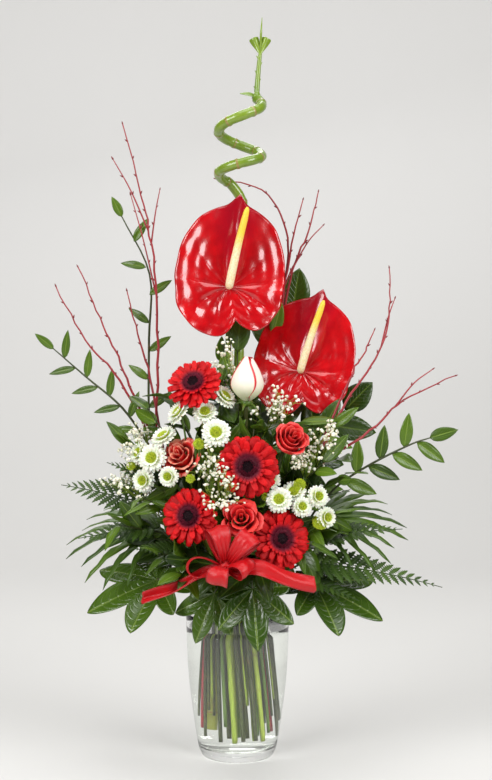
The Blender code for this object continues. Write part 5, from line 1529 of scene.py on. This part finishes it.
LEAFY = {
    "ruscus_left": ((-94, -24, 345), [(-125, -30, 390), (-163, -40, 424), (-197, -50, 455)], 10, 31, 9),
    "ruscus_high": ((-99, 26, 372), [(-99, 28, 462), (-98, 26, 535), (-128, 14, 599)], 8, 30, 10),
    "ruscus_right": ((112, -22, 306), [(149, -32, 331), (188, -45, 352), (207, -50, 359)], 8, 38, 15),
    "salal_back": ((24, 62, 300), [(40, 66, 380), (54, 62, 440), (62, 60, 492)], 5, 62, 34),
    "salal_side": ((66, 30, 330), [(100, 26, 362), (120, 22, 384)], 4, 52, 30),
}
for number, (node, (top, onward, leaves, length, width)) in enumerate(LEAFY.items()):
    trunk = thinned(followed(node, top[2] - 22)) + [Vector(top)]
    path = smooth_path(trunk + [Vector(place) for place in onward], 5)
    green = dark_green_and_painted_shade if node.startswith("salal") else glossy_green
    stem_radius = 2.0 if node.startswith("salal") else 1.35
    ends = len(trunk) * 5
    radii = [stem_radius] * ends + taper(path[ends:], stem_radius, 0.7)
    stem = in_metres(rods(node, [(path, radii)], fine=2))
    stem.data.materials.append(leaf_stem_olive.material)
    polyline = [Vector(top)] + [Vector(place) for place in onward]
    places, masters = [], []
    arch = -0.02 if node == "salal_back" else 0.10
    shapes = [leaf(length, width, arch=arch, wave=0.8), leaf(length, width * 0.94, fold=0.3, arch=arch, wave=-0.6),
              leaf(length * 0.84, width, arch=arch, fold=0.2)]
    for step in range(leaves):
        share = 0.06 + 0.94 * step / (leaves - 1)
        at, heading = spot_on(polyline, min(share, 0.995))
        sideways = heading.cross(Vector((0.15, 1, 0.1))).normalized() * (1 if step % 2 else -1)
        if step == leaves - 1:
            sideways = Vector((0, 0, 0))
        reach = length if share < 0.9 else length * 0.85
        outward = tip_near(node, at, reach, sideways + heading * 0.75)
        places.append(laid(at, outward, (0, -1, 0.35)))
        masters.append(shapes[step % 2] if share < 0.9 else shapes[2])
    blades = copied(node + "_leaves", masters, places, seed=number)
    blades.data.materials.append(green.material)
    removed(*shapes)
    sprig_piece = joined(node + "_leaves", [blades, stem])
    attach(sprig_piece, "root")
    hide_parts(node)
    print(f"{sprig_piece.name}: {leaves} leaves")

# %% [markdown]
# Fern fronds, palm leaves and lobed leaves each fill one flat blade of the solid. Its root is known
# from the stem, it runs towards the middle of the points beyond its root, and the way it faces is the
# thinnest direction of its points. That frame is measured once, and the fine leaf is laid into it.

# %% Fern, palm and lobed leaves


def measured_frame(node, root, heading, facing, reach=1e9):
    """The frame of a flat blade of a solid: from its root, along its length, and facing up."""
    spots = np.array([vert.co[:] for vert in nodes[node].data.vertices]) / MM - np.array(root)
    wanted = np.array(Vector(heading).normalized())
    spots = spots[(spots @ wanted > 6) & (np.linalg.norm(spots, axis=1) < reach)]
    centred = spots - spots.mean(axis=0)
    _, _, axes = np.linalg.svd(centred, full_matrices=False)
    up = Vector(axes[2]) * (1 if Vector(axes[2]).dot(Vector(facing)) > 0 else -1)
    middle = Vector(spots.mean(axis=0))
    forward = middle - up * middle.dot(up)
    return laid(root, forward, up)


def droop(piece, side, length_fall):
    """Let a flat blade fall away towards its end and its edges."""
    return bent(piece, lambda x, y, z: Vector((x, y, z + side(x) - length_fall * y * y)))


def fern_frond(length, width, pairs):
    """A frond: toothed leaflets in pairs along a rib, shorter towards the tip."""
    def leaflet(reach, broad):
        halves = [0.25]
        teeth = 7
        for tooth in range(teeth):
            share = (tooth + 0.5) / teeth
            wide = broad / 2 * math.sin(math.pi * min(0.97, share ** 0.75)) ** 0.7
            halves += [wide, wide * 0.42]
        piece = blade(reach, halves + [0], columns=2)
        bent(piece, lambda x, y, z: Vector((x, y, 0.25 * abs(x) - 0.002 * y * y)))
        return applied(piece, ("SOLIDIFY", dict(thickness=0.4, offset=0.0)))

    step = length * 0.90 / pairs
    master = leaflet(width / 2, step * 1.75)
    places = []
    for pair in range(pairs):
        share = pair / pairs
        y = length * 0.08 + pair * step
        size = max(0.10, (1 - share) ** 0.75 * min(1.0, 0.70 + 2.2 * share))
        lean = 62 - 22 * share
        for side in (-1, 1):
            places.append(moved(0, y, 0) @ turned(-side * lean) @ Matrix.Scale(size, 4))
    return master, places


def rib_rod(length, low, high):
    return rods("rib", [([Vector((0, length * share, -0.2)) for share in np.linspace(0, 1, 9)],
                         taper(range(9), low, high))])


FRONDS = {"fern_left": ((-90, -42, 284), (-0.9, -0.30, 0.42), 104, 78),
          "fern_right": ((72, -58, 226), (1, -0.24, 0.10), 150, 70)}
FERN_TOPS = {"fern_left": (-90, -42, 284), "fern_right": (72, -58, 226)}


def frond_mesh(name, length, width, pairs, fall=0.0010):
    """One whole frond in millimetres, rib and leaflets, fallen in a curve."""
    master, places = fern_frond(length, width, pairs)
    parts = copied(name, [master], [Matrix.Scale(1000, 4) @ place for place in places], seed=7)
    removed(master)
    rib = rib_rod(length, 1.0, 0.4)
    frond = joined(name, [parts, rib])
    return droop(frond, lambda x: 0.10 * abs(x), fall)


for number, (node, (root, heading, length, width)) in enumerate(FRONDS.items()):
    start = Vector(root) - Vector(heading).normalized() * 1.5
    frond = frond_mesh("frond", length, width, 15 if length > 120 else 12)
    place = measured_frame(node, start, heading, (0.1 * heading[0], -0.62, 0.78))
    blades = copied(node + "_frond", [frond], [place], seed=number)
    blades.data.materials.append(fern_green.material)
    trunk = smooth_path(thinned(followed(node, FERN_TOPS[node][2] - 14)) + [Vector(root)], 3)
    stem = in_metres(rods(node, [(trunk, taper(trunk, 1.5, 1.2))]))
    stem.data.materials.append(leaf_stem_olive.material)
    removed(frond)
    fern = joined(node + "_frond", [blades, stem])
    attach(fern, "root")
    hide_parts(node)
    print(f"{fern.name}: {len(fern.data.polygons)} faces")

PALMS = {
    "palm_left": ((-84, -16, 252), (-1, -0.18, 0.22), (-0.25, -0.55, 1), 132),
    "palm_right": ((90, -12, 268), (1, -0.14, 0.20), (0.25, -0.55, 1), 124),
}
FINGERS = 10
PALM_SPREAD = math.radians(62)


def palm_leaf(length):
    """Long folded fingers that part near the stalk, the middle ones longest."""
    finger = blade(1.0, [0.008, 0.030, 0.042, 0.047, 0.047, 0.045, 0.041, 0.035, 0.028, 0.020, 0.012, 0.006, 0], columns=4)
    bent(finger, lambda x, y, z: Vector((x + 0.02 * math.sin(5 * y), y - 0.05 * y ** 4,
                                         0.35 * abs(x) + 0.05 * math.sin(3 * y) - 0.16 * y ** 4)))
    applied(finger, ("SOLIDIFY", dict(thickness=0.005, offset=0.0)))
    places = []
    for number in range(FINGERS):
        angle = PALM_SPREAD * (1 - 2 * number / (FINGERS - 1))
        reach = length * (0.72 + 0.28 * math.cos(angle * 0.9)) * (1.0 if number % 3 else 0.90)
        places.append(Matrix.Scale(1000, 4) @ turned(-math.degrees(angle)) @ turned(9 * math.sin(5 * number), "Y")
                      @ Matrix.Scale(reach, 4))
    fan = copied("palm_fan", [finger], places, seed=3)
    removed(finger)
    return droop(fan, lambda x: -0.0016 * x * x, 0.0016)


for number, (node, (top, heading, facing, length)) in enumerate(PALMS.items()):
    start = Vector(top) - Vector(heading).normalized() * 1.5
    fan = palm_leaf(length)
    place = measured_frame(node, start, heading, facing)
    blades = copied(node + "_fan", [fan], [place], seed=number)
    blades.data.materials.append(palm_green.material)
    trunk = smooth_path(thinned(followed(node, top[2] - 16)) + [Vector(top)], 3)
    stem = in_metres(rods(node, [(trunk, taper(trunk, 1.9, 1.7))], fine=2))
    stem.data.materials.append(leaf_stem_olive.material)
    removed(fan)
    palm = joined(node + "_fan", [blades, stem])
    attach(palm, "root")
    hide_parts(node)
    print(f"{palm.name}: {len(palm.data.polygons)} faces")

ARALIAS = {
    "aralia_front_left": ((-18, -66, 208), (-0.40, -0.40, -0.75), (-0.2, -0.85, 0.5), 78),
    "aralia_front_right": ((16, -68, 216), (0.24, -0.30, -0.88), (0.15, -0.85, 0.4), 92),
    "aralia_left": ((-66, -44, 212), (-0.93, -0.36, -0.10), (-0.2, -0.6, 0.8), 112),
    "aralia_right": ((64, -40, 208), (0.90, -0.42, -0.12), (0.2, -0.6, 0.8), 112),
}
LOBE_LENGTHS = [(0, 0.72), (45, 0.62), (90, 0.44), (135, 0.37), (165, 0.31), (180, 0.24)]
LOBES = 8


def lobed_leaf(length):
    """A hand-shaped leaf: a circle of rings drawn out to eight pointed lobes with toothed edges."""
    only(sweep)
    bpy.ops.mesh.primitive_circle_add(vertices=192, radius=1, fill_type="NOTHING")
    piece = bpy.context.object
    bpy.ops.object.mode_set(mode="EDIT")
    bpy.ops.mesh.select_all(action="SELECT")
    shares = np.linspace(1, 0, 15)
    for outer, inner in zip(shares, shares[1:-1]):
        bpy.ops.mesh.extrude_edges_move()
        bpy.ops.transform.resize(value=(inner / outer, inner / outer, 1))
    bpy.ops.mesh.extrude_edges_move()
    bpy.ops.mesh.merge(type="CENTER")
    bpy.ops.mesh.select_all(action="SELECT")
    bpy.ops.mesh.normals_make_consistent(inside=False)
    bpy.ops.object.mode_set(mode="OBJECT")
    mesh = piece.data
    spots = [vert.co.copy() for vert in mesh.vertices]
    turns = [math.atan2(spot.x, spot.y) if spot.length > 1e-5 else 0.0 for spot in spots]
    off_rib = [abs((turn * LOBES / (2 * math.pi) + 0.5) % 1 - 0.5) * 2 for turn in turns]
    for name, values in (("off_rib", off_rib), ("rim", [spot.length for spot in spots])):
        mesh.attributes.new(name, "FLOAT", "POINT").data.foreach_set("value", np.array(values, np.float32))
    for vert, spot, turn, off in zip(mesh.vertices, spots, turns, off_rib):
        share = spot.length
        lobe = 0.58 + 0.42 * (1 - off ** 1.25) if abs(turn) < 2.9 else 0.8
        tooth = 1 + 0.018 * math.sin(96 * turn) * share
        whole = np.interp(abs(math.degrees(turn)), *zip(*LOBE_LENGTHS))
        reach = length * lobe * whole * share * tooth
        x, y = reach * math.sin(turn), reach * math.cos(turn) + 0.28 * length
        fold = 5.5 * off ** 1.2 * share * (1 - 0.4 * share)
        vert.co = (x, y, fold - 0.0016 * (x * x + y * y) + 0.6 * math.sin(24 * share + 5 * off) * share * off)
    if sum(face.normal.z for face in mesh.polygons) < 0:
        mesh.flip_normals()
    return applied(piece, ("SOLIDIFY", dict(thickness=0.7, offset=0.0)))


def lobed_finish(name, dark, light, rib):
    """A thick glossy leaf whose ribs run out along the middle of each lobe."""
    finish = Finish(name, Roughness=0.26, Coat_Weight=0.4, Coat_Roughness=0.12)
    off, rim = finish.field("off_rib"), finish.field("rim")
    patch = finish.noise(30.0, 3.0)
    body = finish.mix((patch * 0.9 + finish.field("shade") * 0.4 - 0.15).clamped(), dark, light)
    rib_here = 1 - (off * (0.25 + rim)).between(0.02, 0.075)
    side_veins = abs(((rim * 9.0 - off * 2.2) * math.pi).sine())
    body = finish.mix((1 - side_veins.between(0.0, 0.25)) * 0.30, body, rib)
    finish.set("Base Color", finish.mix(rib_here * 0.8, body, rib))
    return finish.relief(side_veins.between(0.0, 0.6) * 0.6 + patch * 0.5 - rib_here * 0.4, 0.0011, 0.55)


aralia_green = lobed_finish("lobed_leaf_green", (0.016, 0.048, 0.003), (0.072, 0.145, 0.008), (0.16, 0.24, 0.04))
for number, (node, (top, heading, facing, length)) in enumerate(ARALIAS.items()):
    start = Vector(top) - Vector(heading).normalized() * 0.08 * length
    master = lobed_leaf(length)
    place = measured_frame(node, start, heading, facing, reach=length * 1.2)
    blades = copied(node + "_blade", [master], [place], seed=number)
    blades.data.materials.append(aralia_green.material)
    trunk = smooth_path(thinned(followed(node, min(top[2] - 40, 160))) + [Vector(top)], 4)
    end = place @ Vector((0, 0.28 * length, -0.5))
    lines = [(trunk, taper(trunk, 2.2, 2.0)), ([trunk[-1], start, end], [2.0, 1.9, 1.3])]
    stem = in_metres(rods(node, lines, fine=2))
    stem.data.materials.append(leaf_stem_olive.material)
    removed(master)
    aralia = joined(node + "_blade", [blades, stem])
    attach(aralia, "root")
    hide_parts(node)
    print(f"{aralia.name}: {len(aralia.data.polygons)} faces")

# %% [markdown]
# The bow is one long satin ribbon, 24 mm wide: four loops and two tails, gathered by a knot that is
# tied to the stem of the lowest rose. Each run starts as a flat strip. Near the knot the strip
# is drawn together, and the width that goes missing becomes pleats.

# %% Ribbon
KNOT = Vector((-12, -116, 229))
RIBBON_WIDTH = 24.0
LOOPS = [((-0.22, -0.10, 1), (0.45, -1, 0), 45, 17), ((0.62, -0.14, 0.80), (-0.35, -1, 0.1), 46, 18),
         ((-1, -0.10, 0.05), (0, 0.1, 1), 40, 17), ((0.75, -0.55, 0.05), (0.1, -0.6, 1), 30, 13),
         ((-0.30, -0.80, -0.30), (0.1, -0.3, 1), 27, 15)]
TAILS = [[(-34, -116, 224), (-70, -118, 206), (-101, -112, 197)], [(20, -124, 232), (50, -126, 221), (84, -122, 211)]]


def strip(formula, rows, columns=16):
    """A run of ribbon: a flat strip whose points are laid out by how far across and along they are."""
    only(sweep)
    bpy.ops.mesh.primitive_grid_add(x_subdivisions=columns, y_subdivisions=rows, size=1)
    run = bpy.context.object
    bent(run, lambda x, y, z: formula(x + 0.5, y + 0.5))
    middle = [formula(0.5, v) for v in np.linspace(0, 1, 60)]
    lengths_along(middle)[-1]
    return applied(run, thick(0.5))


def pleated(u, gathered):
    """How far across and how far out of the strip a point lies where the ribbon is gathered."""
    return (u - 0.5) * RIBBON_WIDTH * gathered, 2.4 * (1 - gathered) * math.sin(8 * math.pi * u)


def loop_run(outward, opening, length, height):
    along = Vector(outward).normalized()
    lift = (Vector(opening) - along * Vector(opening).dot(along)).normalized()
    across = along.cross(lift)

    def formula(u, v):
        turn = math.pi * (0.05 + 0.90 * v)
        side, pleat = pleated(u, 0.2 + 0.8 * math.sin(turn) ** 0.8)
        reach = length * math.sin(turn) + 0.9 * math.sin(9 * u + 5 * v) * math.sin(turn)
        out = height * math.sin(2 * turn) * 0.6 + pleat * math.cos(turn)
        return KNOT + along * reach - lift * out + across * side

    return strip(formula, 36)


def tail_run(places, twist, wide):
    path = smooth_path([KNOT] + [Vector(place) for place in places], 8)

    def formula(u, v):
        at, heading = spot_on(path, min(v * (1 - 0.07 * abs(u - 0.2)), 0.999))
        upright = (Vector((0, 0, 1)) - heading * heading.z).normalized()
        across = Matrix.Rotation(twist * math.sin(3.2 * v), 3, heading) @ upright
        gathered = min(wide, 0.3 + 3.4 * v)
        side, pleat = pleated(u, gathered)
        open_share = min(1.0, 3.0 * v)
        pleat = pleat * (1 - open_share) + open_share * 6.5 * (1 - gathered) * math.sin(2 * math.pi * u + 2 * v)
        wave = 1.8 * math.sin(7.5 * v + 1.2 * u) * min(1.0, 3 * v)
        return at + across * side + across.cross(heading) * (pleat + wave)

    return strip(formula, 44)


def knot_run(u, v):
    angle = 2 * math.pi * v
    height = (u - 0.5) * 16
    reach = 7.0 - 0.034 * height ** 2 + 0.55 * math.sin(7 * math.pi * u + 1.6 * math.sin(angle))
    return KNOT + Vector((reach * math.cos(angle), reach * math.sin(angle), height))


low_stem = followed("rose_low_stem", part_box("rose_low_stem")[1].z / MM - 8)
collar_at, collar_heading = spot_on(low_stem, 0.88)
collar_frame = looking(collar_at, collar_heading)


def collar_run(u, v):
    angle = 2 * math.pi * v
    return collar_frame @ Vector((3.3 * math.cos(angle), 3.3 * math.sin(angle), (u - 0.5) * 6))


def strand_run(u, v):
    side = (u - 0.5) * 5 * math.cos(5 * v), (u - 0.5) * 5 * math.sin(5 * v)
    return collar_at.lerp(KNOT, 0.03 + 0.94 * v) + Vector((side[0], 0, side[1]))


runs = [loop_run(*loop) for loop in LOOPS]
runs += [tail_run(TAILS[0], 0.9, 0.52), tail_run(TAILS[1], -0.6, 0.70)]
runs += [strip(knot_run, 40), strip(collar_run, 16, 4), strip(strand_run, 12, 6)]
bow = in_metres(joined("satin_bow", runs))

satin = Finish("ribbon_red_satin", Roughness=0.30, Specular_IOR_Level=0.45, Sheen_Weight=0.04)
across, along_ribbon = satin.across_and_along()
from_middle = abs(across - 0.5) * 2
threads = satin.node("TexNoise", sockets={"Vector": satin.node("Mapping", sockets={
    "Vector": satin.node("UVMap"), "Scale": (4.0, 260.0, 1.0)}), "Scale": 1.0, "Detail": 2.0})
ribs = ((across * 150.0).sine() * 0.5 + 0.5)
edge_line = from_middle.between(0.86, 0.90) - from_middle.between(0.95, 0.98)
satin_body = satin.mix(threads, (0.40, 0.0008, 0.004), (0.62, 0.0016, 0.006))
satin.set("Base Color", satin.mix(edge_line * 0.7, satin_body, (0.20, 0.0005, 0.004)))
satin.relief(threads * 0.6 + ribs * 0.2 - edge_line * 0.6, 0.0004, 0.6)
dressed(bow, satin, "ribbon_red", "ribbon_bow")

# %% [markdown]
# Between the blooms a bouquet like this is packed with greenery, which is what makes the reds
# glow. Short leafy sprigs leave the bundle at its waist and fan out on every side. A leaf that would
# cross a bloom or stand in front of one is left out.

# %% Greenery between the blooms
WAIST = Vector((0, 0, 196))
BLOOMS = [(Vector(at), Vector(facing).normalized(), radius) for at, facing, radius in GERBERAS.values()]
BLOOMS += [(Vector(at), Vector(facing).normalized(), radius) for at, facing, radius, _, _ in ROSES.values()]
BLOOMS += [(Vector(at), Vector(facing).normalized(), radius)
           for at, facing, radius in (MUM_HEADS | EXTRA_HEADS).values()]
BLOOMS += [(Vector((-9, -20, 505)), Vector((0, -1, 0.18)).normalized(), 58),
           (Vector((62, 0, 425)), Vector((-0.16, -1, 0.22)).normalized(), 54)]
BLOOMS += [(KNOT, Vector((0, -1, 0)), 24), (KNOT + Vector((0, 0, 26)), Vector((0, -1, 0)), 24)]


def hides_a_bloom(place, length):
    """Whether a leaf laid at a place would stand in or before a bloom."""
    for share in (0.15, 0.4, 0.7, 1.0):
        spot = place @ Vector((0, length * share, 0))
        for at, facing, radius in BLOOMS:
            away = spot - at
            height = away.dot(facing)
            if height > -5 and (away - facing * height).length < radius + 2 and height < 70:
                return True
            if away.y < -2 and math.hypot(away.x, away.z) < radius * 0.9:
                return True
    return False


def inside_box(place, length):
    """Whether the leaf's tip stays inside the box of the solids, a little in from its sides, and above 168 mm."""
    tip = place @ Vector((0, length, 0))
    low, high = solid_low / MM, solid_high / MM
    return all(low[axis] + 6 < tip[axis] < high[axis] - 6 for axis in range(3)) and tip.z > 168


def greenery(name, finish, masters, length, ends, per_sprig, spread, seed):
    """Leafy sprigs from the waist to the given ends."""
    draw = random.Random(seed)
    lines, places, chosen = [], [], []
    for end in ends:
        end = Vector(end)
        start = WAIST + Vector((end.x * 0.16, end.y * 0.16, 0))
        rise = start.lerp(end, 0.5) + Vector((-end.x * 0.10, -end.y * 0.10, 14))
        path = smooth_path([start, rise, end], 5)
        reached = 0
        for step in range(per_sprig):
            share = 0.35 + 0.65 * step / (per_sprig - 1)
            at, heading = spot_on(path, min(share, 0.99))
            for _ in range(14):
                sideways = heading.cross(scattered(draw, 1.0)).normalized()
                outward = sideways * (0.9 if step < per_sprig - 1 else 0.15) + heading * 0.8
                outward += scattered(draw, spread)
                facing = Vector((0.5 * outward.x, -0.9 if at.y < 25 else 0.7, 0.75)) + scattered(draw, 0.35)
                place = laid(at, outward, facing)
                if not hides_a_bloom(place, length) and inside_box(place, length):
                    places.append(place @ turned(draw.uniform(-25, 25), "Y") @ Matrix.Scale(draw.uniform(0.75, 1.05), 4))
                    chosen.append(draw.choice(masters))
                    reached = share
                    break
        if reached:
            cut = path[:max(3, int(reached * (len(path) - 1)) + 1)] + [spot_on(path, min(reached, 0.99))[0]]
            lines.append((cut, taper(cut, 1.5, 0.7)))
    blades = copied(name, chosen, places, seed=seed)
    blades.data.materials.append(finish.material)
    stalks = in_metres(rods(name, lines, fine=0))
    stalks.data.materials.append(leaf_stem_olive.material)
    piece = joined(name, [blades, stalks])
    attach(piece, "root")
    print(f"{name}: {len(places)} leaves")


FRONT_ENDS = [(-118, -52, 352), (-96, -62, 392), (-72, -40, 402), (-100, -88, 300), (-126, -72, 268), (-84, -100, 240),
              (-60, -104, 222), (-20, -50, 440), (28, -44, 424), (-12, -70, 352), (18, -76, 372), (-28, -86, 300),
              (24, -84, 292), (76, -52, 392), (104, -48, 372), (92, -78, 336), (118, -56, 322), (104, -86, 282),
              (78, -96, 252), (60, -60, 330), (-64, -60, 310), (0, -84, 250), (2, -46, 446), (-14, -40, 424),
              (36, -56, 404), (-36, -76, 330), (30, -86, 330), (60, -84, 270), (-70, -90, 290)]
BACK_ENDS = [(-62, 48, 372), (0, 56, 392), (62, 48, 410), (-100, 34, 312), (104, 40, 300), (6, 66, 290), (-44, 64, 256),
             (50, 64, 244), (-90, 30, 238), (96, 26, 232), (-20, 30, 440), (40, 24, 470)]
lance = [leaf(40, 14, wave=0.8), leaf(40, 12, fold=0.32, arch=0.22, wave=-0.8), leaf(40, 16, fold=0.15, arch=0.05)]
greenery("greenery_front", glossy_green, lance, 40, FRONT_ENDS, 8, 0.35, 500)
greenery("greenery_back", glossy_green, lance, 40, BACK_ENDS, 8, 0.35, 501)
broad = [leaf(58, 30, wave=1.4), leaf(58, 26, fold=0.3, arch=0.2, wave=-1.2)]
BROAD_ENDS = [(-70, -40, 300), (-40, -60, 330), (-90, -50, 250), (-10, -50, 300), (30, -50, 330), (70, -50, 300),
              (90, -50, 260), (20, -60, 260), (-30, -30, 380), (30, -20, 390), (60, -10, 440), (-60, 20, 300),
              (0, 40, 320), (60, 30, 320), (-30, 50, 230), (40, 50, 230), (-20, -84, 226), (24, -88, 222),
              (0, -14, 452), (14, -20, 420), (-20, -26, 400), (40, -40, 360), (-50, -60, 300), (60, -70, 250),
              (-60, -70, 250), (90, -20, 360), (100, -30, 330)]
# The broad leaves take the darker green, which paints the shade between the blooms.
greenery("greenery_broad", dark_green_and_painted_shade, broad, 58, BROAD_ENDS, 5, 0.45, 502)
removed(*lance, *broad)

FILL_FRONDS = [
    ((-84, -52, 262), (-1, -0.30, -0.02), 88, 56), ((-70, -40, 300), (-0.9, -0.45, 0.55), 82, 58),
    ((84, -50, 250), (1, -0.35, 0.25), 96, 56), ((60, -60, 214), (0.9, -0.40, -0.25), 78, 46),
    ((-30, 38, 262), (-0.9, 0.08, 0.4), 92, 46), ((40, 38, 262), (0.9, 0.06, 0.4), 92, 46),
    ((0, 30, 232), (0.35, 0.30, 0.6), 46, 40), ((-50, -64, 236), (-0.8, -0.5, 0.2), 70, 48),
]
frond_parts = []
for number, (root, heading, length, width) in enumerate(FILL_FRONDS):
    frond = frond_mesh("frond", length, width, 11)
    frond_parts.append(copied("fill_frond", [frond], [laid(root, heading, (0.1, -0.5 if root[1] < 0 else 0.4, 0.8))],
                              seed=number))
    removed(frond)
fill_ferns = joined("fern_fill", frond_parts)
fill_ferns.data.materials.append(fern_green.material)
stalks = in_metres(rods("fern_stalks", [(sprig(WAIST + Vector((root[0] * 0.2, root[1] * 0.2, 0)), root), 1.1)
                                        for root, _, _, _ in FILL_FRONDS]))
stalks.data.materials.append(leaf_stem_olive.material)
fill_ferns = joined("fern_fill", [fill_ferns, stalks])
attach(fill_ferns, "root")
print("fill fronds:", len(FILL_FRONDS))
